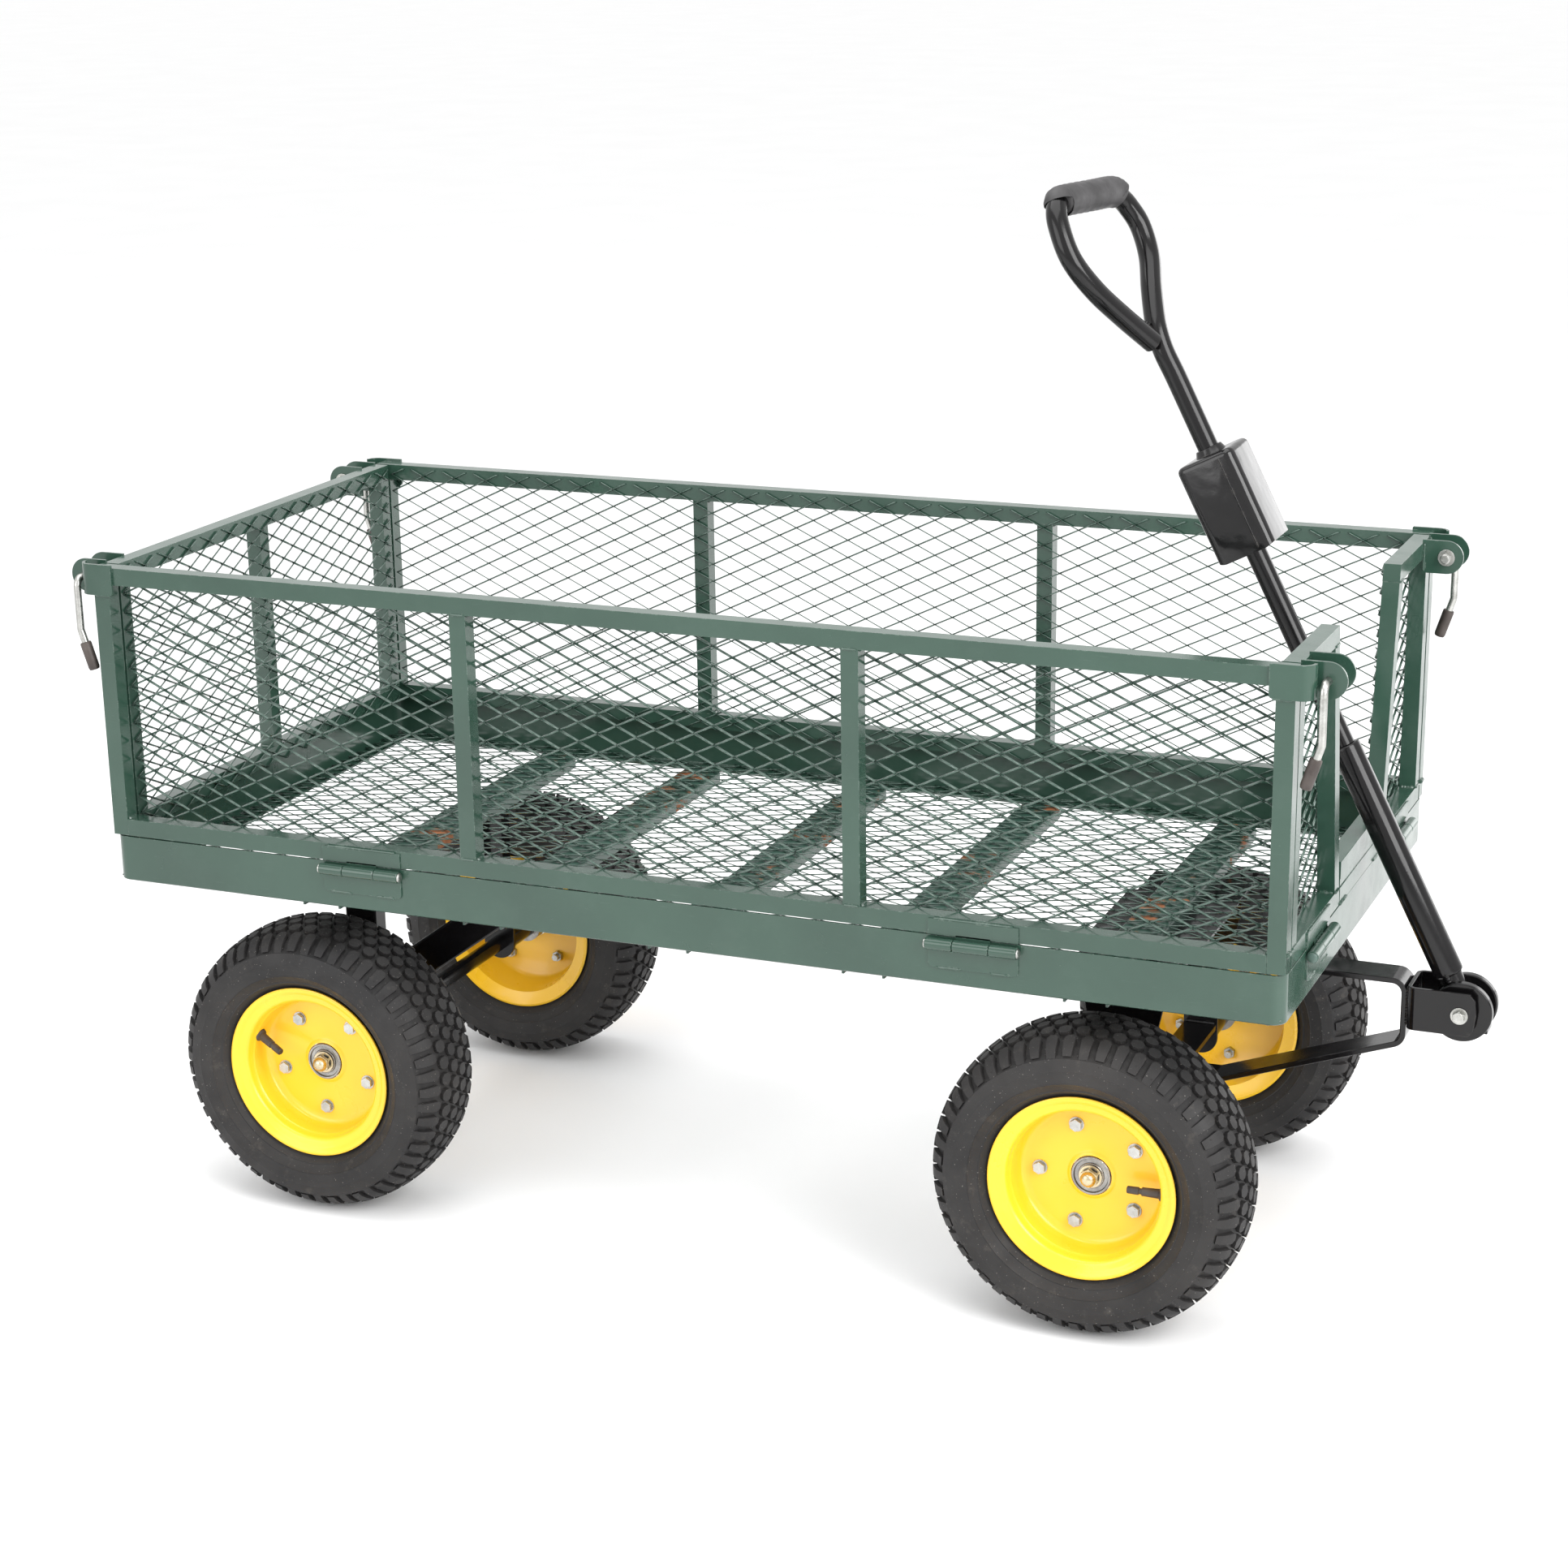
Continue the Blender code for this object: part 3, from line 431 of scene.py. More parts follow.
def tyre_rubber():
    """Black rubber with a grey-brown bloom, patches of dust and a fine cast grain."""
    n = Nodes("tyre_rubber")
    bloom = n.ramp(n.noise(9.0, 5.0, 0.6), 0.35, 0.72)
    colour = n.mix(bloom, (0.013, 0.0125, 0.013, 1), (0.027, 0.025, 0.024, 1))
    dust = n.ramp(n.noise(55.0, 6.0, 0.7), 0.58, 0.78, 0.0, 0.35)
    colour = n.mix(dust, colour, (0.1, 0.088, 0.075, 1))
    specks = n.ramp(n.noise(520.0, 1.0), 0.73, 0.77, 0.0, 0.5)
    colour = n.mix(specks, colour, (0.26, 0.24, 0.22, 1))
    rough = n.ramp(n.noise(30.0, 4.0), 0.3, 0.7, 0.5, 0.74)
    grain = n.bump(n.noise(650.0, 2.0), 0.16, 0.0003)
    n.surface(base_color=colour, roughness=rough, normal=grain)
    n.shader.inputs["Specular IOR Level"].default_value = 0.32
    return n.material


def vinyl(name, colour, worn):
    n = Nodes(name)
    tone = n.ramp(n.noise(40.0, 4.0), 0.4, 0.75)
    rough = n.ramp(n.noise(90.0, 3.0), 0.3, 0.7, 0.42, 0.66)
    n.surface(base_color=n.mix(tone, colour, worn), roughness=rough)
    n.surface(normal=n.bump(n.noise(380.0, 2.0), 0.15, 0.0003))
    return n.material


GREEN = enamel(
    "green_enamel",
    (0.024, 0.061, 0.042, 1),
    (0.018, 0.048, 0.033, 1),
    (0.11, 0.16, 0.135, 1),
    (0.2, 0.25, 0.22, 1),
    roughness=0.2,
)
# The same green paint as the frame's, with a lighter base colour: painted light that the thin strands catch.
MESH_GREEN_PAINTED_LIGHT = enamel(
    "mesh_enamel_painted_light",
    (0.036, 0.076, 0.057, 1),
    (0.028, 0.062, 0.046, 1),
    (0.14, 0.18, 0.16, 1),
    (0.2, 0.25, 0.22, 1),
    roughness=0.22,
    coat=0.5,
)
BLACKS = (
    (0.0028, 0.0026, 0.0029, 1),
    (0.005, 0.0046, 0.005, 1),
    (0.03, 0.027, 0.025, 1),
    (0.1, 0.09, 0.08, 1),
)
BLACK = enamel("black_enamel", *BLACKS, 0.15, coat=0.0, haze=0.05, wear=0.25, gloss=0.34)
DENTED_BLACK = enamel("dented_enamel", *BLACKS, 0.13, coat=0.0, haze=0.06, wear=0.3, dent=0.75, gloss=0.45)
YELLOW = enamel(
    "yellow_enamel",
    (0.92, 0.55, 0.022, 1),
    (0.9, 0.51, 0.018, 1),
    (0.82, 0.58, 0.12, 1),
    (0.5, 0.36, 0.1, 1),
    roughness=0.3,
    edge=0.0008,
)
ZINC = plated("zinc_plate", (0.52, 0.52, 0.5, 1), (0.34, 0.34, 0.32, 1), 0.3)
STEEL = plated("bearing_steel", (0.36, 0.35, 0.33, 1), (0.2, 0.19, 0.18, 1), 0.3)
BRASS_ZINC = plated("yellow_zinc", (0.66, 0.58, 0.4, 1), (0.46, 0.38, 0.25, 1), 0.28)
RUSTY_GREEN = rusty("channel_paint", (0.03, 0.07, 0.053, 1), (0.3, 0.105, 0.035, 1))
RUSTY_PIN = rusty("weathered_pin", (0.075, 0.125, 0.105, 1), (0.26, 0.12, 0.05, 1))
TYRE = tyre_rubber()
GRIP = vinyl("grip_vinyl", (0.03, 0.022, 0.019, 1), (0.075, 0.06, 0.052, 1))
FOAM = vinyl("grip_foam", (0.022, 0.021, 0.022, 1), (0.05, 0.048, 0.05, 1))


# ---- expanded metal


def expanded_metal(name, ranges, to_space, slat, body, node, cuts=()):
    """A sheet of slit and stretched steel over a range of (u, v); to_space maps (u, v, depth) to metres.

    Each opening is a diamond, long along u. The slats between them lie tilted, each with its
    lower edge outwards, so that they catch the light on one face, as real ones do. slat holds
    half a slat's height and half its depth.
    """
    half_rise, half_depth = slat
    (low_u, high_u), (low_v, high_v) = ranges
    half_u, half_v = LONG_PITCH / 2, SHORT_PITCH / 2
    sheet = bmesh.new()
    for row in range(-1, int((high_v - low_v) / half_v) + 2):
        for column in range(-1, int((high_u - low_u) / LONG_PITCH) + 2):
            for way in (-1, 1):
                start = Vector((low_u + column * LONG_PITCH + (row % 2) * half_u, low_v + row * half_v, 0))
                stop = start + Vector((way * half_u, half_v, 0))
                along = (stop - start).normalized()
                rise = Vector((-way * along.y, abs(along.x), 0)) * half_rise
                start, stop = start - along * 0.0012, stop + along * 0.0012
                tilt = Vector((0, 0, half_depth))
                corners = (start + rise - tilt, stop + rise - tilt, stop - rise + tilt, start - rise + tilt)
                sheet.faces.new([sheet.verts.new(corner) for corner in corners])
    edges = [((low_u, 0, 0), (-1, 0, 0)), ((high_u, 0, 0), (1, 0, 0))]
    edges += [((0, low_v, 0), (0, -1, 0)), ((0, high_v, 0), (0, 1, 0)), *cuts]
    for point, normal in edges:
        cut_away(sheet, point, normal)
    for vertex in sheet.verts:
        vertex.co = to_space(*vertex.co)
    # The strands get the lighter copy of the frame's green, which is painted light.
    obj = piece(name, sheet, MESH_GREEN_PAINTED_LIGHT, body, [node], angle=20)
    thick = obj.modifiers.new("sheet", "SOLIDIFY")
    thick.thickness = STRAND_SHEET
    thick.offset = 0


def floor_sheet():
    inset = SKIRT_SHEET + 0.001
    ranges = ((-HALF_LENGTH + inset, HALF_LENGTH - inset), (-HALF_WIDTH + inset, HALF_WIDTH - inset))
    level = (FLOOR_LOW + FLOOR_TOP) / 2

    def to_space(u, v, depth):
        return u, v, level + depth

    expanded_metal("floor_sheet", ranges, to_space, FLOOR_SLAT, "chassis", "bed_floor_mesh")


def side_sheet(side):
    name = SIDE_NAMES[side]
    middle = sum(span(f"{name}_side_mesh", 1)) / 2
    edge = HALF_LENGTH - TUBE - SHEET_GAP
    ranges = ((-edge, edge), (MESH_LOW, MESH_TOP))

    def to_space(u, v, depth):
        return u, middle + side * depth, v

    expanded_metal(f"{name}_side_sheet", ranges, to_space, PANEL_SLAT, f"{name}_side", f"{name}_side_mesh")


def gate_sheet(name, body, node, u_range, cuts=()):
    middle = sum(span(node, 0)) / 2 - DECK_X
    end = math.copysign(1, middle)
    bottom, top = span(node, 2)

    def to_space(u, v, depth):
        return middle + end * depth, u, v

    expanded_metal(name, (u_range, (bottom, top)), to_space, PANEL_SLAT, body, node, cuts)


def notch_y(z):
    """How far from the middle the slanted edge of the front notch is at a height."""
    share = (z - PANEL_LOW) / (PANEL_TOP - PANEL_LOW)
    return NOTCH_LOW_Y + share * (NOTCH_TOP_Y - NOTCH_LOW_Y)


def gate_edge(_z):
    """How far from the middle the upright edge of an end gate is, the same at every height."""
    return GATE_EDGE


def sheets():
    floor_sheet()
    reach = GATE_EDGE - SHEET_GAP
    gate_sheet("rear_gate_sheet", "rear_gate", "rear_gate_mesh", (-reach, reach))
    for side in SIDES:
        side_sheet(side)
        body = f"front_gate_{SIDE_NAMES[side]}"
        near = notch_y(MESH_LOW) + 0.003
        slant = Vector((notch_y(MESH_TOP) - notch_y(MESH_LOW), MESH_TOP - MESH_LOW)).normalized()
        cut = ((side * near, MESH_LOW, 0), (-side * slant.y, slant.x, 0))
        gate_sheet(f"{body}_sheet", body, f"{body}_mesh", sorted((side * near, side * reach)), (cut,))


# ---- hinges


def hinge_matrix(x, y, side, end):
    """Places hinge shapes, written along X and outwards along Y, on a side or, with side 0, on an end."""
    along, outward = ((1, 0, 0), (0, side, 0)) if side else ((0, 1, 0), (end, 0, 0))
    turn = Matrix((along, outward, (0, 0, 1))).transposed().to_4x4()
    return Matrix.Translation((x, y, HINGE_Z)) @ turn


def side_hinges(side):
    y = side * (HALF_WIDTH + HINGE_OUT)
    return [hinge_matrix(x, y, side, 0) for x in (-SIDE_HINGE_X, SIDE_HINGE_X)]


def end_hinge(end, y):
    return hinge_matrix(end * (HALF_LENGTH + HINGE_OUT), y, 0, end)


def add_rings(solid, stations, matrix):
    """A round skin about a hinge's own X axis, through stations of (distance, radius)."""
    loops = []
    for x, radius in stations:
        loops.append([matrix @ Vector((x, a, b)) for a, b in arc((0, 0), radius, 0, 345, 23)])
    add_loops(solid, loops)


def add_knuckle(solid, low, high, matrix):
    """A curled knuckle with slightly rounded rims."""
    rim = 0.0006
    inner = KNUCKLE_RADIUS - rim
    stations = ((low, inner), (low + rim, KNUCKLE_RADIUS), (high - rim, KNUCKLE_RADIUS), (high, inner))
    add_rings(solid, stations, matrix)


def add_lower_leaf(solid, matrix):
    outline = [(-LEAF_HALF, -0.007), (-LEAF_HALF, -0.0205), *arc((-0.0405, -0.0205), 0.005, 180, 270, 5)]
    outline += [*arc((0.0405, -0.0205), 0.005, 270, 360, 5), (LEAF_HALF, -0.007)]
    add_plate(solid, outline, "xz", -0.0066, -0.0047, matrix)
    for way in (-1, 1):
        start, stop = sorted((way * (MIDDLE_KNUCKLE + 0.0005), way * HINGE_HALF))
        add_box(solid, (start + 0.0005, -0.0066, -0.008), (stop - 0.0005, -0.0047, 0), matrix)
        add_knuckle(solid, start, stop, matrix)
    for ends in ((-0.038, -0.012), (0.016, 0.038)):
        add_weld(solid, *[matrix @ Vector((x, -0.0055, -0.0252)) for x in ends], 0.0016)


def add_upper_leaf(solid, matrix):
    half = MIDDLE_KNUCKLE - 0.0005
    add_box(solid, (-LEAF_HALF, -0.0066, 0.0076), (LEAF_HALF, -0.005, 0.0235), matrix)
    add_box(solid, (-half, -0.006, 0), (half, -0.005, 0.009), matrix)
    add_knuckle(solid, -MIDDLE_KNUCKLE, MIDDLE_KNUCKLE, matrix)
    add_weld(solid, *[matrix @ Vector((x, -0.0056, 0.0238)) for x in (-0.04, 0.04)], 0.0012)


def hinge_pin(name, matrix, material):
    """A pin with a domed head at each end."""
    solid = bmesh.new()
    add_rod(solid, *[matrix @ Vector((x, 0, 0)) for x in (-0.047, 0.047)], 0.0031, 16)
    head = ((0.0462, 0.0049), (0.047, 0.005), (0.0479, 0.004), (0.0484, 0.002))
    for way in (-1, 1):
        add_rings(solid, [(way * x, radius) for x, radius in head], matrix)
    piece(f"{name}_looks", solid, material, "chassis", [name])


def hinge_pins():
    for side in SIDES:
        label = SIDE_NAMES[side]
        for matrix, place in zip(side_hinges(side), ("rear", "front")):
            hinge_pin(f"hinge_pin_{label}_{place}", matrix, ZINC)
        hinge_pin(f"hinge_pin_rear_gate_{label}", end_hinge(REAR, side * REAR_HINGE_Y), ZINC)
        hinge_pin(f"hinge_pin_front_gate_{label}", end_hinge(FRONT, side * FRONT_HINGE_Y), RUSTY_PIN)


# ---- bed


def skirt():
    section = (
        (0.0, SKIRT_LOW + 0.0012),
        (0.0, SKIRT_TOP),
        (SKIRT_SHEET, SKIRT_TOP),
        (SKIRT_SHEET, SKIRT_LOW + SKIRT_SHEET),
        (FLANGE, SKIRT_LOW + SKIRT_SHEET),
        (FLANGE, SKIRT_LOW),
        (0.0012, SKIRT_LOW),
    )
    loops = []
    for inset, z in section:
        radius = max(SKIRT_CORNER - inset, 0.002)
        outline = rounded_rectangle(HALF_LENGTH - inset, HALF_WIDTH - inset, radius, 8)
        loops.append([Vector((x, y, z)) for x, y in outline])
    solid = bmesh.new()
    add_loops(solid, loops, closed=True)
    for side in SIDES:
        for matrix in side_hinges(side):
            add_lower_leaf(solid, matrix)
        add_lower_leaf(solid, end_hinge(REAR, side * REAR_HINGE_Y))
        add_lower_leaf(solid, end_hinge(FRONT, side * FRONT_HINGE_Y))
    piece("bed_skirt", solid, GREEN, "chassis", ["bed_frame"], bevel=0.0005)


def sill():
    solid = bmesh.new()
    inner, half, low = HALF_LENGTH - TUBE, SILL_HALF, SILL_LOW + 0.001
    add_box(solid, (inner, -half, SILL_LOW), (HALF_LENGTH, half, SILL_LOW + TUBE))
    add_box(solid, (inner, -half, SILL_TOP - TUBE), (HALF_LENGTH, half, SILL_TOP))
    web_low, web_high = (HALF_LENGTH - 0.004, -half + 0.002), (HALF_LENGTH - 0.0008, half - 0.002)
    add_box(solid, (*web_low, SILL_LOW + 0.01), (*web_high, SILL_TOP - 0.01))
    for start, stop in ((-half, -half + 0.03), (half - 0.03, half)):
        add_weld(solid, (HALF_LENGTH, start, low), (HALF_LENGTH, stop, low), 0.0018)
    piece("notch_sill", solid, GREEN, "chassis", ["front_sill"], bevel=0.0015)


def floor_channels():
    reach = HALF_WIDTH - FLANGE - 0.0005
    half, top = CHANNEL_WIDTH / 2 - CHANNEL_SHEET / 2, CHANNEL_TOP - CHANNEL_SHEET / 2
    corners = [(-half, 0, CHANNEL_LOW), (-half, 0, top), (half, 0, top), (half, 0, CHANNEL_LOW)]
    for number, x in enumerate(CHANNELS, 1):
        curve = [(point.x + x, point.z) for point in rounded_path(corners, 0.0035, 5)]
        solid = bmesh.new()
        add_plate(solid, strip_outline(curve, CHANNEL_SHEET), "xz", -reach, reach)
        for side in SIDES:
            y, level = side * (reach - 0.001), CHANNEL_TOP - 0.001
            add_weld(solid, (x - 0.018, y, level), (x + 0.018, y, level), 0.0014)
        name = f"floor_channel_{number}"
        piece(f"cross_channel_{number}", solid, RUSTY_GREEN, "chassis", [name], bevel=0.0003)


# ---- panels


def side_panel(side):
    name = SIDE_NAMES[side]
    low_y, high_y = sorted((side * (HALF_WIDTH - TUBE), side * HALF_WIDTH))
    inner_x = HALF_LENGTH - TUBE
    solid = bmesh.new()
    add_box(solid, (-HALF_LENGTH, low_y, RAIL_TOP), (HALF_LENGTH, high_y, PANEL_TOP))
    add_box(solid, (-inner_x + NARROWER, low_y, PANEL_LOW), (inner_x - NARROWER, high_y, RAIL_LOW))
    for x in (-HALF_LENGTH + TUBE / 2, -SIDE_BAR_X, SIDE_BAR_X, HALF_LENGTH - TUBE / 2):
        near, far = x - TUBE / 2, x + TUBE / 2
        bottom = PANEL_LOW if abs(x) > SIDE_BAR_X else RAIL_LOW
        add_box(solid, (near, low_y + NARROWER, bottom), (far, high_y - NARROWER, RAIL_TOP))
        for level in (RAIL_LOW, RAIL_TOP):
            for way in (-1, 1):
                edge = x + way * (TUBE / 2 + WELD_OUT)
                add_weld(solid, (edge, low_y + 0.002, level), (edge, high_y - 0.002, level), TUBE_WELD)
            if abs(x) < inner_x:
                y = side * (HALF_WIDTH - 0.0002)
                add_weld(solid, (near + 0.001, y, level), (far - 0.001, y, level), FACE_WELD)
    for matrix in side_hinges(side):
        add_upper_leaf(solid, matrix)
    for end in ENDS:
        add_wrap(solid, side, end)
    piece(f"{name}_side_tubes", solid, GREEN, f"{name}_side", [f"{name}_side_frame"], bevel=0.0019)


def add_wrap(solid, side, end):
    """The corner plate that a side panel carries round towards the latch."""
    outer, start, bend = HALF_WIDTH + 0.0012, 0.611, 0.0118
    path = [(start, outer), (0.6385, outer), *arc((0.6385, outer - bend), bend, 90, 0, 6), (0.6503, 0.2945)]
    outline = strip_outline(path, 0.003)
    low, high = 0.6726, 0.7053
    levels = [(low, 0.004), (low + 0.0012, 0.0012), (low + 0.004, 0), (high - 0.001, 0), (high, 0.0008)]
    loops = []
    for z, inset in levels:
        loops.append([Vector((end * min(max(x, start + inset), 0.6518), side * y, z)) for x, y in outline])
    add_loops(solid, loops)
    y, z = side * (HALF_WIDTH + 0.0006), low - 0.0003
    add_weld(solid, (end * 0.614, y, z), (end * 0.633, y, z), 0.0015)


def add_ear(solid, end, y):
    """A round-ended lug on a gate that carries the latch lever."""
    low_z, high_z, root = LATCH_Z - EAR_RADIUS, LATCH_Z + EAR_RADIUS, 0.6335
    outline = [(root, low_z), *arc((LATCH_X, LATCH_Z), EAR_RADIUS, -90, 90, 20), (root, high_z)]
    low, high = sorted((y, y + math.copysign(EAR_SHEET, y)))
    add_plate(solid, [(end * x, z) for x, z in outline], "xz", low, high)
    x = end * (HALF_LENGTH + 0.0006)
    add_weld(solid, (x, y, low_z + 0.002), (x, y, high_z - 0.004), 0.0018)


def rear_gate():
    low_x, high_x = -HALF_LENGTH, -HALF_LENGTH + TUBE
    solid = bmesh.new()
    add_box(solid, (low_x, -GATE_EDGE, RAIL_TOP), (high_x, GATE_EDGE, PANEL_TOP))
    add_box(solid, (low_x, -GATE_EDGE, PANEL_LOW), (high_x, GATE_EDGE, RAIL_LOW))
    for y in (-GATE_EDGE + TUBE / 2, 0, GATE_EDGE - TUBE / 2):
        near, far = y - TUBE / 2, y + TUBE / 2
        add_box(solid, (low_x + NARROWER, near, RAIL_LOW), (high_x - NARROWER, far, RAIL_TOP))
        for level in (RAIL_LOW, RAIL_TOP):
            for way in (-1, 1):
                edge = y + way * (TUBE / 2 + WELD_OUT)
                if abs(edge) < GATE_EDGE:
                    add_weld(solid, (low_x + 0.002, edge, level), (high_x - 0.002, edge, level), TUBE_WELD)
            add_weld(solid, (low_x, near, level), (low_x, far, level), FACE_WELD)
    for side in SIDES:
        add_upper_leaf(solid, end_hinge(REAR, side * REAR_HINGE_Y))
        for y in EAR_Y:
            add_ear(solid, REAR, side * y)
    piece("rear_gate_tubes", solid, GREEN, "rear_gate", ["rear_gate_frame"], bevel=0.0018)


def front_half_gate(side):
    low_x, high_x = HALF_LENGTH - TUBE, HALF_LENGTH
    solid = bmesh.new()

    def slab(near, far, low, high, narrower=0.0):
        """A tube between two edges. Each edge's distance from the middle depends on the height."""
        corners = ((near, low), (far, low), (far, high), (near, high))
        outline = [(side * edge(z), z) for edge, z in corners]
        add_plate(solid, outline, "yz", low_x + narrower, high_x - narrower)

    slab(notch_y, gate_edge, RAIL_TOP, PANEL_TOP)
    slab(notch_y, gate_edge, PANEL_LOW, RAIL_LOW)
    slab(notch_y, lambda z: notch_y(z) + TUBE, RAIL_LOW, RAIL_TOP, NARROWER)
    slab(lambda z: GATE_EDGE - TUBE, gate_edge, RAIL_LOW, RAIL_TOP, NARROWER)
    for level in (RAIL_LOW, RAIL_TOP):
        for y in (notch_y(level) + TUBE, GATE_EDGE - TUBE):
            add_weld(solid, (low_x + 0.002, side * y, level), (high_x - 0.002, side * y, level))
        for y in (notch_y(level) + 0.001, GATE_EDGE - TUBE + 0.001):
            add_weld(solid, (high_x, side * y, level), (high_x, side * (y + TUBE - 0.002), level), 0.0014)
    add_upper_leaf(solid, end_hinge(FRONT, side * FRONT_HINGE_Y))
    for y in EAR_Y:
        add_ear(solid, FRONT, side * y)
    name = f"front_gate_{SIDE_NAMES[side]}"
    piece(f"{name}_tubes", solid, GREEN, name, [f"{name}_frame"], bevel=0.0018)


# ---- latches


def latch(end, side):
    name, turn = f"latch_{END_NAMES[end]}_{SIDE_NAMES[side]}", mirror(end, side)
    corners = [(LATCH_X, 0.2375, LATCH_Z), (LATCH_X, LEVER_Y, LATCH_Z), (LATCH_X, LEVER_Y, 0.632)]
    corners.append((0.6455, LEVER_Y, 0.59))
    lever = bmesh.new()
    add_path(lever, rounded_path(corners, 0.009), 0.0039)
    washer, nut = (0.2462, 0.2476, 0.0088, 32), (0.24, 0.2462, 0.0066, 6)
    add_stack(lever, lambda y: (LATCH_X, y, LATCH_Z), washer, nut, (0.2384, 0.24, 0.0044, 24, 0.0054))
    piece(f"{name}_rod", lever, ZINC, name, [f"{name}_lever"], bevel=0.0003, matrix=turn)
    grip_end = Vector(corners[-1])
    along = (Vector(corners[-2]) - grip_end).normalized()
    stations = [(0.0305, 0.0046), (0.03, 0.0056), (0.0285, 0.006)]
    stations += [(0.003, 0.0059), (0.0006, 0.0052), (0.0, 0.003)]
    sleeve = bmesh.new()
    add_stations(sleeve, lambda reach: grip_end + along * reach, stations, 24)
    piece(f"{name}_sleeve", sleeve, GRIP, name, [f"{name}_grip"], matrix=turn)


# ---- wheels

TREAD_TOP = (
    (0.16, 0.0), (0.1598, 0.01), (0.1589, 0.02), (0.157, 0.03),
    (0.1537, 0.039), (0.1487, 0.047), (0.1425, 0.0522), (0.135, 0.0556),
)


def tread_lengths():
    lengths = [0.0]
    for (r1, w1), (r2, w2) in zip(TREAD_TOP, TREAD_TOP[1:]):
        lengths.append(lengths[-1] + math.hypot(r2 - r1, w2 - w1))
    return lengths


TREAD_LENGTHS = tread_lengths()


def tread_point(along, sink):
    """(radius, outward distance) at a length along the tread from its middle, sunk below the surface."""
    reach = min(abs(along), TREAD_LENGTHS[-1] - 1e-6)
    i = max(k for k, length in enumerate(TREAD_LENGTHS[:-1]) if length <= reach)
    share = (reach - TREAD_LENGTHS[i]) / (TREAD_LENGTHS[i + 1] - TREAD_LENGTHS[i])
    (r1, w1), (r2, w2) = TREAD_TOP[i], TREAD_TOP[i + 1]
    normal = Vector((w2 - w1, r1 - r2)).normalized()
    radius = r1 + share * (r2 - r1) - sink * normal.x
    out = w1 + share * (w2 - w1) - sink * normal.y
    return radius, math.copysign(out, along)


def add_block(solid, rows, turn):
    """One rubber block with tapered walls, from rows of (length along the tread, half width)."""

    def point(along, across, sink):
        radius, out = tread_point(along, sink)
        angle = turn + across / TREAD_RADIUS
        return Vector((radius * math.cos(angle), out, radius * math.sin(angle)))

    tops, feet = [], []
    for along, half in rows:
        foot = BLOCK_DEPTH if abs(along) < SHOULDER else BLOCK_DEPTH * 0.25
        tops.append([solid.verts.new(point(along, a, 0.0)) for a in (-half, half)])
        feet.append([solid.verts.new(point(along, a, foot)) for a in (-half - 0.0005, half + 0.0005)])
    for (a, b), (c, d), (e, f), (g, h) in zip(tops, tops[1:], feet, feet[1:]):
        solid.faces.new((a, b, d, c))
        solid.faces.new((a, c, g, e))
        solid.faces.new((b, f, h, d))
    solid.faces.new((tops[0][0], feet[0][0], feet[0][1], tops[0][1]))
    solid.faces.new((tops[-1][0], tops[-1][1], feet[-1][1], feet[-1][0]))


def add_tread(solid):
    """Turf tread: interlocking six-sided blocks in staggered rows, and lugs that run into the sidewall."""
    pitch = 2 * math.pi * TREAD_RADIUS / LUGS
    half, neck = pitch * 0.345, pitch * 0.16
    step = 2 * math.pi / LUGS / 2
    inner = [(0.0014, neck), (0.005, half), (0.0106, half), (0.0142, neck)]
    middle = [(0.0178, neck), (0.0214, half), (0.0276, half), (0.0312, neck)]
    lug = [(0.0346, neck), (0.0384, half * 0.92), (0.045, half * 0.9), (0.053, half * 0.84)]
    for number in range(LUGS):
        end = (TREAD_LENGTHS[-1] - (0.0008 if number % 2 else 0.006), half * 0.76)
        for way in (-1, 1):
            start = 2 * math.pi * (number + (0.5 if way < 0 else 0.0)) / LUGS
            for rows, offset in ((inner, 0.0), (middle, step), ([*lug, end], 0.0)):
                add_block(solid, [(way * along, reach) for along, reach in rows], start + offset)


def tyre_mesh():
    carcass = [tread_point(TREAD_LENGTHS[-1] * i / 14, 0.0046 - 0.00012 * max(0, i - 8)) for i in range(13)]
    sidewall = [(0.138, 0.0548), (0.1335, 0.0563), (0.127, 0.0576), (0.1262, 0.058), (0.1254, 0.0576)]
    sidewall += [(0.12, 0.0573), (0.113, 0.0556), (0.1124, 0.056), (0.1116, 0.055), (0.107, 0.052)]
    sidewall += [(0.1042, 0.0496), (0.103, 0.0497), (0.1014, 0.048), (0.099, 0.044), (0.0968, 0.0412)]
    inside = [(0.094, 0.0395), (0.08, 0.038), (0.08, 0.03)]
    half = carcass + sidewall + inside
    profile = [(radius, -out) for radius, out in reversed(half[1:])] + half
    solid = bmesh.new()
    add_turned(solid, profile, (0, 0, 0), 1, 144)
    add_tread(solid)
    for _ in range(MOULD_HAIRS):
        turn = random.uniform(0, 2 * math.pi)
        along = random.choice((-1, 1)) * random.uniform(0.05, 0.066)
        ends = [tread_point(along, sink) for sink in (0.001, -0.0022)]
        ends = [Vector((radius * math.cos(turn), out, radius * math.sin(turn))) for radius, out in ends]
        add_rod(solid, *ends, 0.00035, 5, 0.0001)
    return finished_mesh("tyre", solid, TYRE, TYRE_ANGLE)


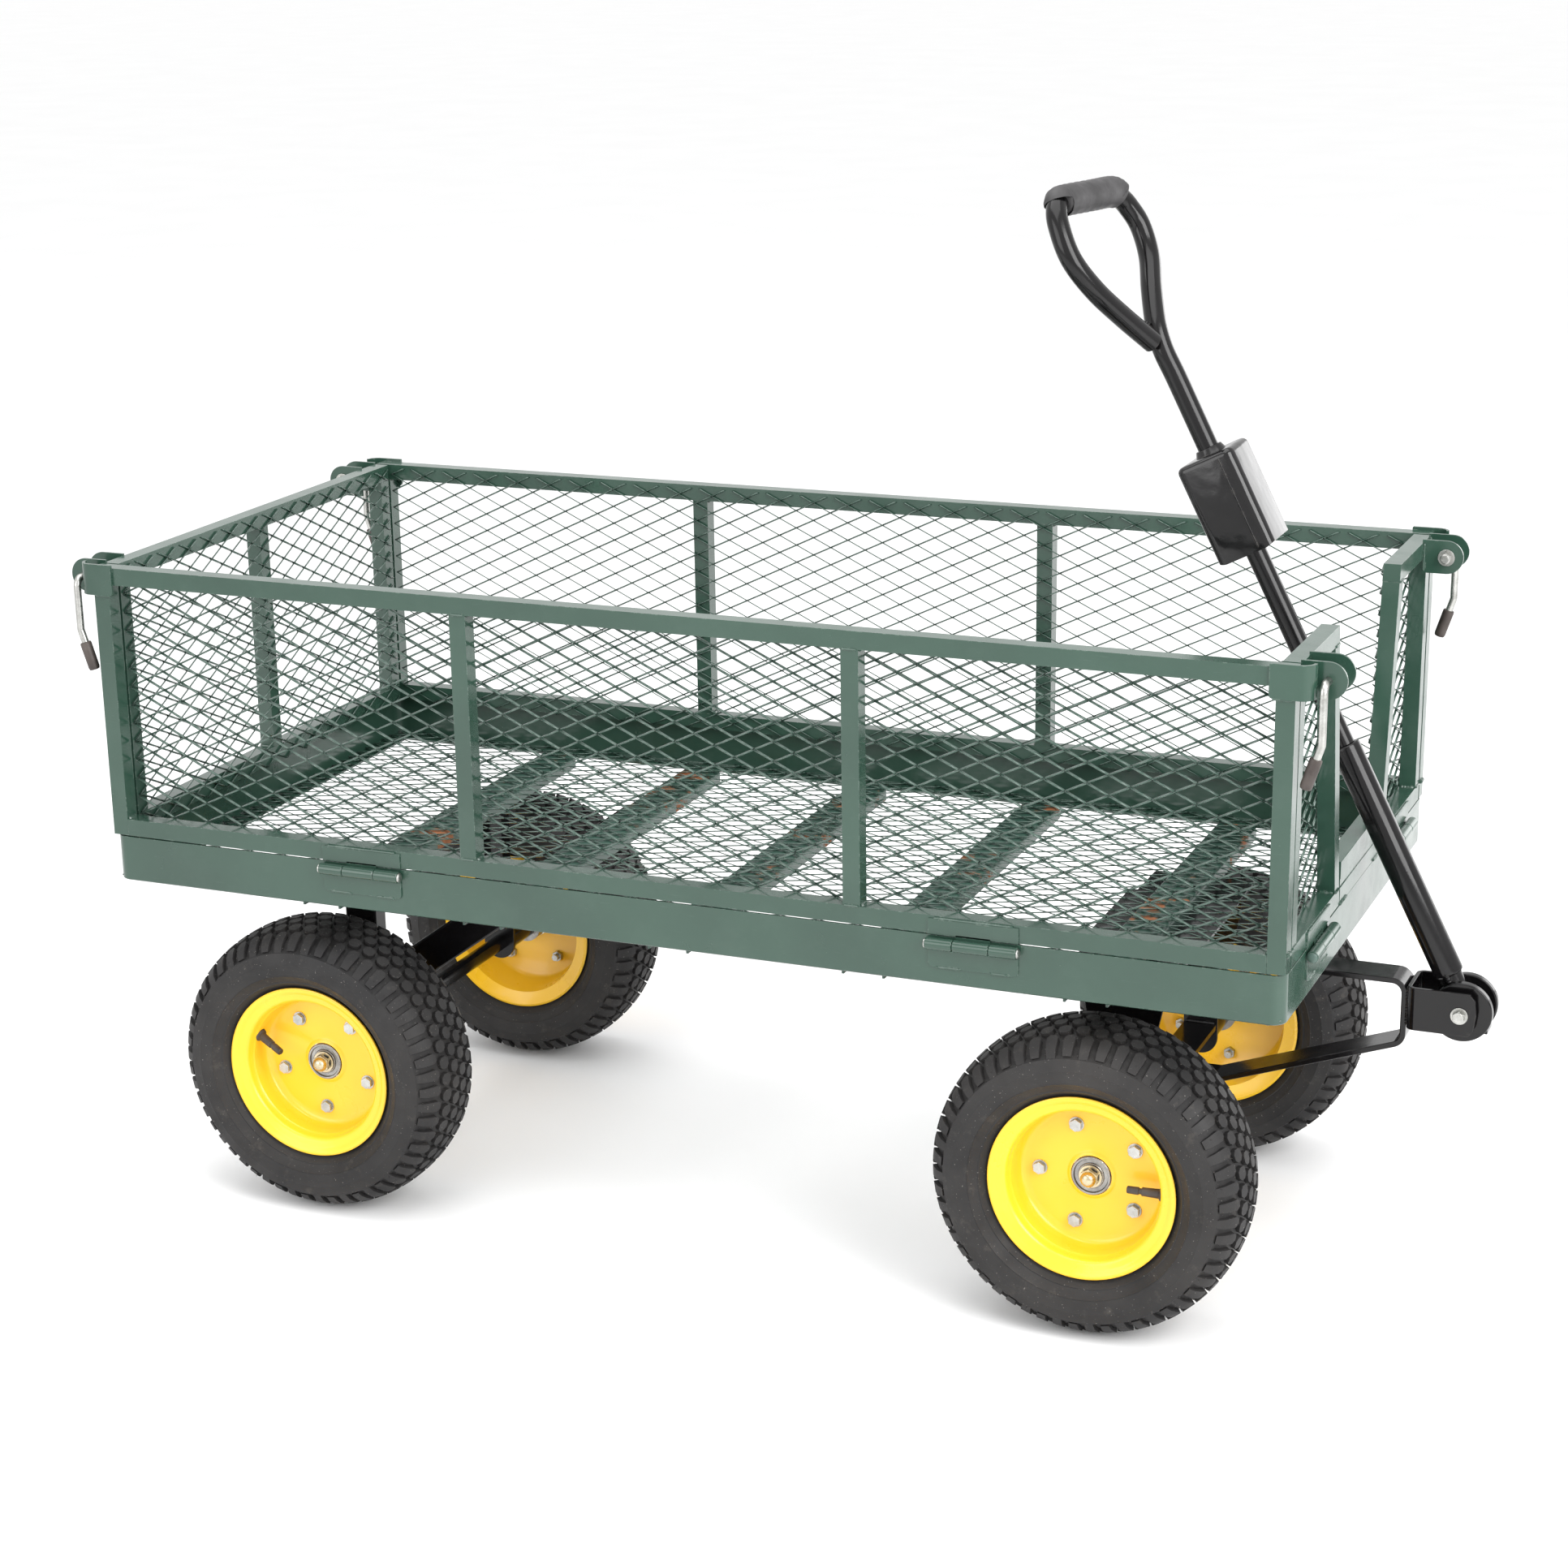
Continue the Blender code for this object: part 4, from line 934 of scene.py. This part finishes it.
def add_rim(solid, centre, side):
    """A split rim turned from one profile: the outer half with the disc, then the back half."""
    disc = DISC_OUT
    outer = [(0.094, 0.0412), (0.0955, 0.043), (0.0953, 0.0447), (0.0938, 0.0456), (0.0915, 0.045)]
    outer += [(0.0885, 0.0425), (0.0862, 0.0412), (0.082, 0.0405), (0.0792, 0.0388), (0.0778, 0.0355)]
    outer += [(0.0772, 0.03), (0.0762, 0.0292), (0.0758, 0.028), (0.0752, disc + 0.011)]
    outer += [(0.0738, disc + 0.005), (0.0712, disc + 0.0016), (0.068, disc + 0.0003), (0.064, disc)]
    outer += [(0.026, disc), (0.024, disc + 0.001), (0.0222, disc + 0.0028), (0.0208, disc + 0.003)]
    back = [(0.0208, disc - 0.003), (0.07, disc - 0.003), (0.0748, disc - 0.008), (0.0765, -0.03)]
    back += [(0.079, -0.0385), (0.086, -0.041), (0.093, -0.0452), (0.0955, -0.044), (0.0955, -0.0425)]
    back += [(0.087, -0.0385), (0.08, -0.0355), (0.0785, 0.03), (0.08, 0.0365), (0.085, 0.039)]
    add_turned(solid, outer + back, centre, side, 128)


def add_rim_bolts(solid, centre, side, phase):
    face = centre[1] + side * DISC_OUT
    washer, head = (-0.001, 0.001, 0.0078, 32), (0.001, 0.0052, 0.0066, 6)
    shank, nut = (-0.0145, -0.0025, 0.004, 16), (-0.0085, -0.003, 0.0066, 6)
    for number in range(RIM_BOLTS):
        angle = math.radians(phase + 360 / RIM_BOLTS * number)
        x = centre[0] + BOLT_CIRCLE * math.cos(angle)
        z = centre[2] + BOLT_CIRCLE * math.sin(angle)
        add_stack(solid, lambda out: (x, face + side * out, z), washer, head, shank, nut)


def add_valve(solid, centre, side, angle, lean):
    """A rubber valve stem that leans in from the rim's wall, with its cap."""
    ray = spoke(math.radians(angle))
    base = Vector(centre) + Vector((0, side * (DISC_OUT + 0.016), 0))
    stem = [(0.0765, 0.0075), (0.074, 0.007), (0.0725, 0.0048)]
    stem += [(0.056, 0.0043), (0.0555, 0.003), (0.0515, 0.003)]
    cap = ((0.053, 0.0036), (0.0526, 0.004), (0.042, 0.0038), (0.0412, 0.003))

    def place(reach):
        return base + ray * reach + Vector((0, side * (stem[0][0] - reach) * lean, 0))

    add_stations(solid, place, stem, 20)
    add_stations(solid, place, cap, 12)


def add_bearing(solid, centre, side):
    """The outer end of the bearing, with its two races and the seal, and the hub tube behind."""
    face = HUB_OUT - WHEEL_Y
    back, seal, shy = face - 0.03, face - 0.0016, face - 0.0004
    profile = [(0.0099, back), (0.0099, shy), (0.0104, face), (0.0128, face), (0.0132, shy)]
    profile += [(0.0136, seal), (0.017, seal), (0.0174, face - 0.0006), (0.0178, face)]
    profile += [(0.0196, face), (0.0202, face - 0.0006), (0.0202, back)]
    add_turned(solid, profile, centre, side, 64)


# For each wheel: the turn of its bolts and of its valve in degrees, and how far the valve leans out.
WHEEL_MARKS = {
    (FRONT, RIGHT): (108, -2, 0.1),
    (REAR, RIGHT): (124, 160, 0.35),
    (FRONT, LEFT): (64, 200, 0.1),
    (REAR, LEFT): (20, 80, 0.2),
}


def wheel(end, side, shared_tyre):
    label = f"{END_NAMES[end]}_{SIDE_NAMES[side]}"
    body = f"wheel_{label}"
    x = FRONT_AXLE_X if end == FRONT else REAR_AXLE_X
    centre = (x, side * WHEEL_Y, AXLE_Z)
    phase, valve, lean = WHEEL_MARKS[(end, side)]
    tyre = shared_tyre.copy()
    spin = Matrix.Rotation(math.radians(phase), 4, "Y")
    tyre.transform(Matrix.Translation((DECK_X + x, side * WHEEL_Y, AXLE_Z)) @ spin)
    piece(f"tyre_{label}_tread", None, TYRE, body, [f"tyre_{label}"], 0.0004, TYRE_ANGLE, mesh=tyre)
    rim, bolts, stem, bearing = [bmesh.new() for _ in range(4)]
    add_rim(rim, centre, side)
    piece(f"rim_{label}_pressing", rim, YELLOW, body, [f"rim_{label}"], angle=50)
    add_rim_bolts(bolts, centre, side, phase)
    piece(f"rim_{label}_bolts", bolts, ZINC, body, [], bevel=0.0004)
    add_valve(stem, centre, side, valve, lean)
    piece(f"rim_{label}_valve", stem, GRIP, body, [])
    add_bearing(bearing, centre, side)
    piece(f"hub_{label}_bearing", bearing, STEEL, body, [f"hub_{label}"], angle=25)


# ---- undercarriage


def axle(name, body, x, leg_outside):
    solid, nuts = bmesh.new(), bmesh.new()
    add_rod(solid, (x, -HUB_OUT - 0.004, AXLE_Z), (x, HUB_OUT + 0.004, AXLE_Z), 0.0092, 32)
    washer, nut = (0, 0.0014, 0.0118, 40), (0.0014, 0.0078, 0.0098, 6)
    dome = ((0.0078, 0.008), (0.01, 0.0077), (0.0126, 0.0062), (0.0142, 0.004), (0.0148, 0.0012))
    for side in SIDES:
        add_stack(solid, lambda y: (x, side * y, AXLE_Z), (leg_outside + 0.001, HUB_IN - 0.001, 0.014, 40))
    piece(f"{name}_rod", solid, BLACK, body, [name], bevel=0.0006)
    for side in SIDES:

        def place(reach):
            return x, side * (HUB_OUT + 0.0006) + side * reach, AXLE_Z

        add_stack(nuts, place, washer, nut)
        add_stations(nuts, place, dome, 28)
    piece(f"{name}_nuts", nuts, BRASS_ZINC, body, [], bevel=0.0004)


def lug_outline(x, half, top):
    return [(x - half, top), *arc((x, AXLE_Z), half, 180, 360, 18), (x + half, top)]


def channel_section(centre, half, top, low, sheet):
    """A channel's outline, open towards low, with its two outer corners cut off."""
    left, right, shoulder, inside = centre - half, centre + half, top - 0.002, top - sheet
    outer = [(left, low), (left, shoulder), (left + 0.002, top)]
    outer += [(right - 0.002, top), (right, shoulder), (right, low)]
    inner = [(right - sheet, low), (right - sheet, inside), (left + sheet, inside), (left + sheet, low)]
    return outer + inner


def rear_leg(side):
    """A channel down to the axle with its end plate, and a brace that slopes up to the bed."""
    x, plate_half = REAR_AXLE_X, 0.0195
    solid, brace = bmesh.new(), bmesh.new()
    section = channel_section(x, 0.019, 0.16, 0.138, 0.003)
    add_plate(solid, [(a, side * b) for a, b in section], "xy", 0.185, UNDERSIDE)
    add_side_plate(solid, lug_outline(x, plate_half, 0.215), side, 0.1555, 0.1605)
    foot, head = Vector((-0.42, 0, 0.205)), Vector((-0.212, 0, 0.356))
    along = (head - foot).normalized()
    turn = Matrix((Vector((along.z, 0, -along.x)), Vector((0, side, 0)), along)).transposed().to_4x4()
    section = channel_section(0.0, 0.0185, 0.1594, 0.1386, 0.0026)
    add_plate(brace, section, "xy", 0.0, (head - foot).length, Matrix.Translation(foot) @ turn)
    cut = cut_away(brace, (0, 0, UNDERSIDE), (0, 0, 1))
    bmesh.ops.holes_fill(brace, edges=[e for e in cut["geom_cut"] if isinstance(e, bmesh.types.BMEdge)])
    scratch = bpy.data.meshes.new("brace")
    brace.to_mesh(scratch)
    brace.free()
    solid.from_mesh(scratch)
    bpy.data.meshes.remove(scratch)
    add_weld(solid, (x + plate_half, side * 0.16, 0.2), (x + plate_half, side * 0.16, 0.243))
    add_weld(solid, (x - 0.018, side * 0.1595, 0.3475), (x + 0.018, side * 0.1595, 0.3475))
    name = f"rear_leg_{SIDE_NAMES[side]}"
    piece(f"{name}_channel", solid, BLACK, "chassis", [name], bevel=0.0006)


def truck():
    """The swivelling frame: a top plate, two hanging side plates, a cross bar and the pivot's boss."""
    x, top = FRONT_AXLE_X, 0.3415
    solid = bmesh.new()
    add_plate(solid, rounded_rectangle(0.055, 0.1515, 0.006, 4, (x, 0)), "xy", 0.3395, 0.3437)
    outline = [(x - 0.045, top), (x - 0.04, 0.3), *lug_outline(x, 0.019, 0.2)]
    outline += [(x + 0.04, 0.3), (x + 0.045, top)]
    for side in SIDES:
        add_side_plate(solid, outline, side, 0.1475, 0.151)
        for half, y, z, radius in ((0.044, 0.1472, 0.339, 0.0024), (0.016, 0.1468, 0.1772, 0.0022)):
            add_weld(solid, (x - half, side * y, z), (x + half, side * y, z), radius)
    add_box(solid, (x - 0.018, -0.149, 0.1705), (x + 0.018, 0.149, 0.1765))
    add_rod(solid, (x, 0, 0.3168), (x, 0, 0.3405), 0.018, 48)
    piece("truck_plates", solid, BLACK, "truck", ["truck_frame"], bevel=0.0008)


def kingpin_and_plate():
    x = FRONT_AXLE_X
    slab, pin = bmesh.new(), bmesh.new()
    add_plate(slab, rounded_rectangle(0.06, 0.07, 0.008, 5, (x, 0)), "xy", 0.344, UNDERSIDE)
    piece("pivot_slab", slab, BLACK, "chassis", ["pivot_plate"], bevel=0.0008)
    shank, nut, washer = (0.3015, 0.357, 0.0079, 32), (0.3032, 0.3086, 0.0128, 6), (0.3086, 0.31, 0.015, 32)
    add_stack(pin, lambda z: (x, 0, z), shank, nut, washer, (0.3485, 0.355, 0.0128, 6))
    piece("kingpin_bolt", pin, ZINC, "chassis", ["kingpin"], bevel=0.0004)


def yoke():
    """A flat bar bent into the tongue, with the bolt that ties it down to the cross bar."""
    upper, lower, nose = 0.3135, 0.18, 0.689
    corners = [(0.395, 0, upper), (nose, 0, upper), (nose, 0, 0.2485)]
    corners += [(0.4955, 0, lower), (0.412, 0, lower)]
    path = [(point.x, point.z) for point in rounded_path(corners, 0.013, 8)]
    solid, bolt = bmesh.new(), bmesh.new()
    add_plate(solid, strip_outline(path, 0.006), "xz", -0.02, 0.02)
    piece("tongue_strap", solid, BLACK, "truck", ["tongue_yoke"], bevel=0.0011)
    washer, head = (0.1832, 0.1845, 0.009, 32), (0.1845, 0.19, 0.0072, 6)
    add_stack(bolt, lambda z: (FRONT_AXLE_X + 0.004, 0, z), washer, head)
    piece("tongue_bolt", bolt, ZINC, "truck", [], bevel=0.0003)


def clevis():
    """A bent strip with a rounded nose plate on each cheek, and the bolt that the handle folds on."""
    low, high, cheek = 0.2666, 0.3114, 0.0265
    bracket, bolt = bmesh.new(), bmesh.new()
    corners = [(0.756, -cheek, 0), (0.6946, -cheek, 0), (0.6946, cheek, 0), (0.756, cheek, 0)]
    path = [point.xy for point in rounded_path(corners, 0.007, 8)]
    add_plate(bracket, strip_outline(path, 0.004), "xy", low, high)
    nose = [(0.755, low), (0.7605, 0.273), (0.7625, 0.289), (0.7608, 0.305), (0.755, high)]
    for side in SIDES:
        add_side_plate(bracket, nose, side, 0.0245, 0.0285)
        add_weld(bracket, (0.6925, side * 0.0185, 0.2685), (0.6925, side * 0.0185, 0.309), 0.0026)
    piece("clevis_bracket", bracket, BLACK, "truck", ["clevis"], bevel=0.0007)
    add_rod(bolt, (CLEVIS_X, -0.036, CLEVIS_Z), (CLEVIS_X, 0.036, CLEVIS_Z), 0.0058, 28)
    washer, head = (0.0287, 0.03, 0.0088, 32), (0.03, 0.0345, 0.0066, 6)
    tip = (0.0345, 0.0358, 0.0056, 24, 0.0042)
    for side in SIDES:
        add_stack(bolt, lambda y: (CLEVIS_X, side * y, CLEVIS_Z), washer, head, tip)
    piece("clevis_pin", bolt, ZINC, "truck", ["clevis_bolt"], bevel=0.0004)


# ---- draw handle


HANDLE_UP = Vector((-math.sin(HANDLE_LEAN), 0, math.cos(HANDLE_LEAN)))
HANDLE_AHEAD = Vector((HANDLE_UP.z, 0, -HANDLE_UP.x))


def on_handle(along, sideways=0.0, twist=0.0):
    """A point on the handle: along it from the clevis bolt, and sideways, turned by twist from Y."""
    across = Vector((0, math.cos(twist), 0)) + math.sin(twist) * HANDLE_AHEAD
    return Vector((CLEVIS_X, 0, CLEVIS_Z)) + along * HANDLE_UP + sideways * across


def lower_handle():
    """The thick lower tube on a narrower root, with the two foot discs and the stop tab."""
    solid = bmesh.new()
    tube = [(0.036, 0.012), (0.038, 0.0145), (0.041, LOWER_RADIUS), (LOWER_TOP - 0.003, LOWER_RADIUS)]
    tube += [(LOWER_TOP - 0.0008, 0.0142), (LOWER_TOP, 0.0128)]
    disc = ((0.01, 0.0296), (0.0108, 0.0308), (0.018, 0.0308), (0.019, 0.0298))
    add_stations(solid, on_handle, tube, 40)
    add_path(solid, [on_handle(0.009), on_handle(0.05)], 0.0122, 32)
    for side in SIDES:
        add_stations(solid, lambda y: (CLEVIS_X, side * y, CLEVIS_Z), disc, 64)
        add_weld(solid, on_handle(0.03, side * 0.0115), on_handle(0.044, side * 0.0125), 0.003)
    add_box(solid, (0.761, -0.012, 0.2655), (0.7718, 0.012, 0.2718))
    piece("handle_foot", solid, BLACK, "handle", ["handle_lower_tube"], bevel=0.0009)


LOOP_PATH = (
    (0.717, -0.001), (0.7373, 0.0034), (0.7527, 0.0107), (0.7786, 0.0274), (0.8083, 0.049),
    (0.838, 0.0572), (0.86, 0.0515), (0.871, 0.0445), (0.8795, 0.034), (0.8835, 0.0),
    (0.8893, -0.054), (0.886, -0.068), (0.8695, -0.0794), (0.8356, -0.0845), (0.7997, -0.0697),
    (0.7651, -0.0433), (0.7304, -0.0127),
)
SLEEVE_PATH = ((0.873, 0.0425), (0.8795, 0.034), (0.8835, 0.0), (0.8893, -0.054), (0.8875, -0.0625))


def upper_handle():
    """The shaft and its D loop, bent from one bar, with the foam sleeve on the loop's top."""
    solid, sleeve = bmesh.new(), bmesh.new()
    path = [on_handle(0.64), on_handle(0.69)]
    path += [on_handle(along, out, GRIP_TWIST) for along, out in LOOP_PATH]
    path = [on_handle(LOWER_TOP + 0.0004), *smooth_path(path, 7)]
    add_path(solid, path, SHAFT_RADIUS, 32)
    for out in (-0.0065, 0.0075):
        start, stop = (0.722, 0.0035 + out * 0.6), (0.752, out - 0.004)
        add_weld(solid, on_handle(*start, GRIP_TWIST), on_handle(*stop, GRIP_TWIST), 0.003)
    piece("handle_loop", solid, BLACK, "handle", ["handle_shaft"], bevel=0.0006, angle=45)
    path = smooth_path([on_handle(along, out, GRIP_TWIST) for along, out in SLEEVE_PATH], 11)
    radii = [0.0148 + 0.0005 * (i % 2) for i in range(len(path))]
    radii[0] = radii[-1] = 0.0112
    radii[1] = radii[-2] = 0.0138
    add_path(sleeve, path, radii, 40)
    piece("handle_sleeve", sleeve, FOAM, "handle", ["handle_grip"], angle=60)


def hitch_box():
    """A box of bent sheet round the shaft: rounded edges, two pressed creases and a wavy open foot."""
    turn = Matrix((HANDLE_AHEAD, Vector((0, 1, 0)), HANDLE_UP)).transposed().to_4x4()
    place = Matrix.Translation(on_handle(HITCH_FOOT)) @ turn
    solid = bmesh.new()
    half_a, half_b, radius, sheet = 0.0306, 0.0342, 0.0095, 0.0024
    outline = rounded_rectangle(half_a, half_b, radius, 8)
    inner = rounded_rectangle(half_a - sheet, half_b - sheet, 0.0071, 8)

    def ring(points, level=None):
        """The outline at a level, or along the wavy foot."""
        wave = [0.0024 + 0.002 * math.cos(a / half_a * 5.0) if level is None else level for a, _ in points]
        return [place @ Vector((*point, height)) for point, height in zip(points, wave)]

    loops = [ring(inner, 0.095), ring(inner), ring(outline), ring(outline, 0.0983)]
    for shrink, level in ((0.0006, 0.101), (0.002, 0.1029), (0.0042, 0.1041), (0.0068, 0.1045)):
        loops.append(ring(rounded_rectangle(half_a - shrink, half_b - shrink, radius - shrink, 8), level))
    add_loops(solid, loops)
    for way in (-1, 1):
        a, b = half_a - 0.0155, way * (half_b + 0.0001)
        add_weld(solid, place @ Vector((a, b, 0.004)), place @ Vector((a, b, 0.098)), 0.0009)
    collar = ((0.607, 0.0165), (0.61, 0.015), (0.6145, 0.0132), (0.615, 0.0112))
    add_stations(solid, on_handle, collar, 36)
    piece("hitch_cover", solid, DENTED_BLACK, "handle", ["hitch_box"], bevel=0.0006, angle=40)


# ---- studio


def studio():
    floor = bmesh.new()
    bmesh.ops.create_grid(floor, x_segments=1, y_segments=1, size=60)
    mesh = bpy.data.meshes.new("studio_floor")
    floor.to_mesh(mesh)
    floor.free()
    n = Nodes("studio_floor")
    tone = n.ramp(n.noise(3.0), 0.3, 0.7)
    n.surface(base_color=n.mix(tone, (0.9, 0.9, 0.9, 1), (0.92, 0.92, 0.92, 1)), roughness=0.6)
    mesh.materials.append(n.material)
    ground = show("studio_floor", mesh)
    world = bpy.data.worlds.new("studio")
    world.use_nodes = True
    world.node_tree.nodes["Background"].inputs["Color"].default_value = (1.0, 1.0, 1.0, 1)
    world.node_tree.nodes["Background"].inputs["Strength"].default_value = 1.08
    bpy.context.scene.world = world


def soft_light(name, place, target, size, power):
    light = bpy.data.lights.new(name, "AREA")
    light.shape = "RECTANGLE"
    light.size, light.size_y = size
    light.energy = power
    lamp = show(name, light)
    lamp.location = place
    lamp.rotation_euler = (Vector(target) - Vector(place)).to_track_quat("-Z", "Y").to_euler()


def lights():
    soft_light("rim", (2.1, 3.9, 0.95), (0.35, 0, 0.6), (2.4, 1.5), 29)
    soft_light("key", (2.6, -1.4, 2.0), (0.2, 0, 0.35), (1.8, 2.2), 95)
    soft_light("top", (-0.2, -0.3, 3.0), (0, 0, 0.3), (3.0, 2.4), 55)
    soft_light("fill", (-1.6, -3.0, 1.6), (0, 0, 0.4), (2.2, 2.0), 38)


def camera():
    """A long lens a little above the cart, turned towards its right front corner."""
    place = Vector((1.2573, -2.9597, 1.4078))
    ahead = Vector((-0.3721, 0.876, -0.3069)).normalized()
    roll = -0.0167
    across = ahead.cross(Vector((0, 0, 1))).normalized()
    above = across.cross(ahead)
    right = math.cos(roll) * across + math.sin(roll) * above
    up = -math.sin(roll) * across + math.cos(roll) * above
    lens = bpy.data.cameras.new("camera")
    lens.sensor_width = 36
    lens.lens = 71.82
    lens.shift_x, lens.shift_y = 0.0057, 0.0418
    view = show("camera", lens)
    turn = Matrix((right, up, -ahead)).transposed().to_4x4()
    view.matrix_world = Matrix.Translation(place + Vector((DECK_X, 0, 0))) @ turn
    bpy.context.scene.camera = view


camera()
studio()
lights()
bpy.context.scene.view_settings.view_transform = "Standard"
skirt()
sill()
floor_channels()
sheets()
hinge_pins()
rear_gate()
axle("rear_axle", "chassis", REAR_AXLE_X, 0.1605)
axle("front_axle", "truck", FRONT_AXLE_X, 0.151)
truck()
kingpin_and_plate()
yoke()
clevis()
lower_handle()
upper_handle()
hitch_box()
common_tyre = tyre_mesh()
for cart_side in SIDES:
    side_panel(cart_side)
    front_half_gate(cart_side)
    rear_leg(cart_side)
    for cart_end in ENDS:
        latch(cart_end, cart_side)
        wheel(cart_end, cart_side, common_tyre)
bpy.context.view_layer.update()
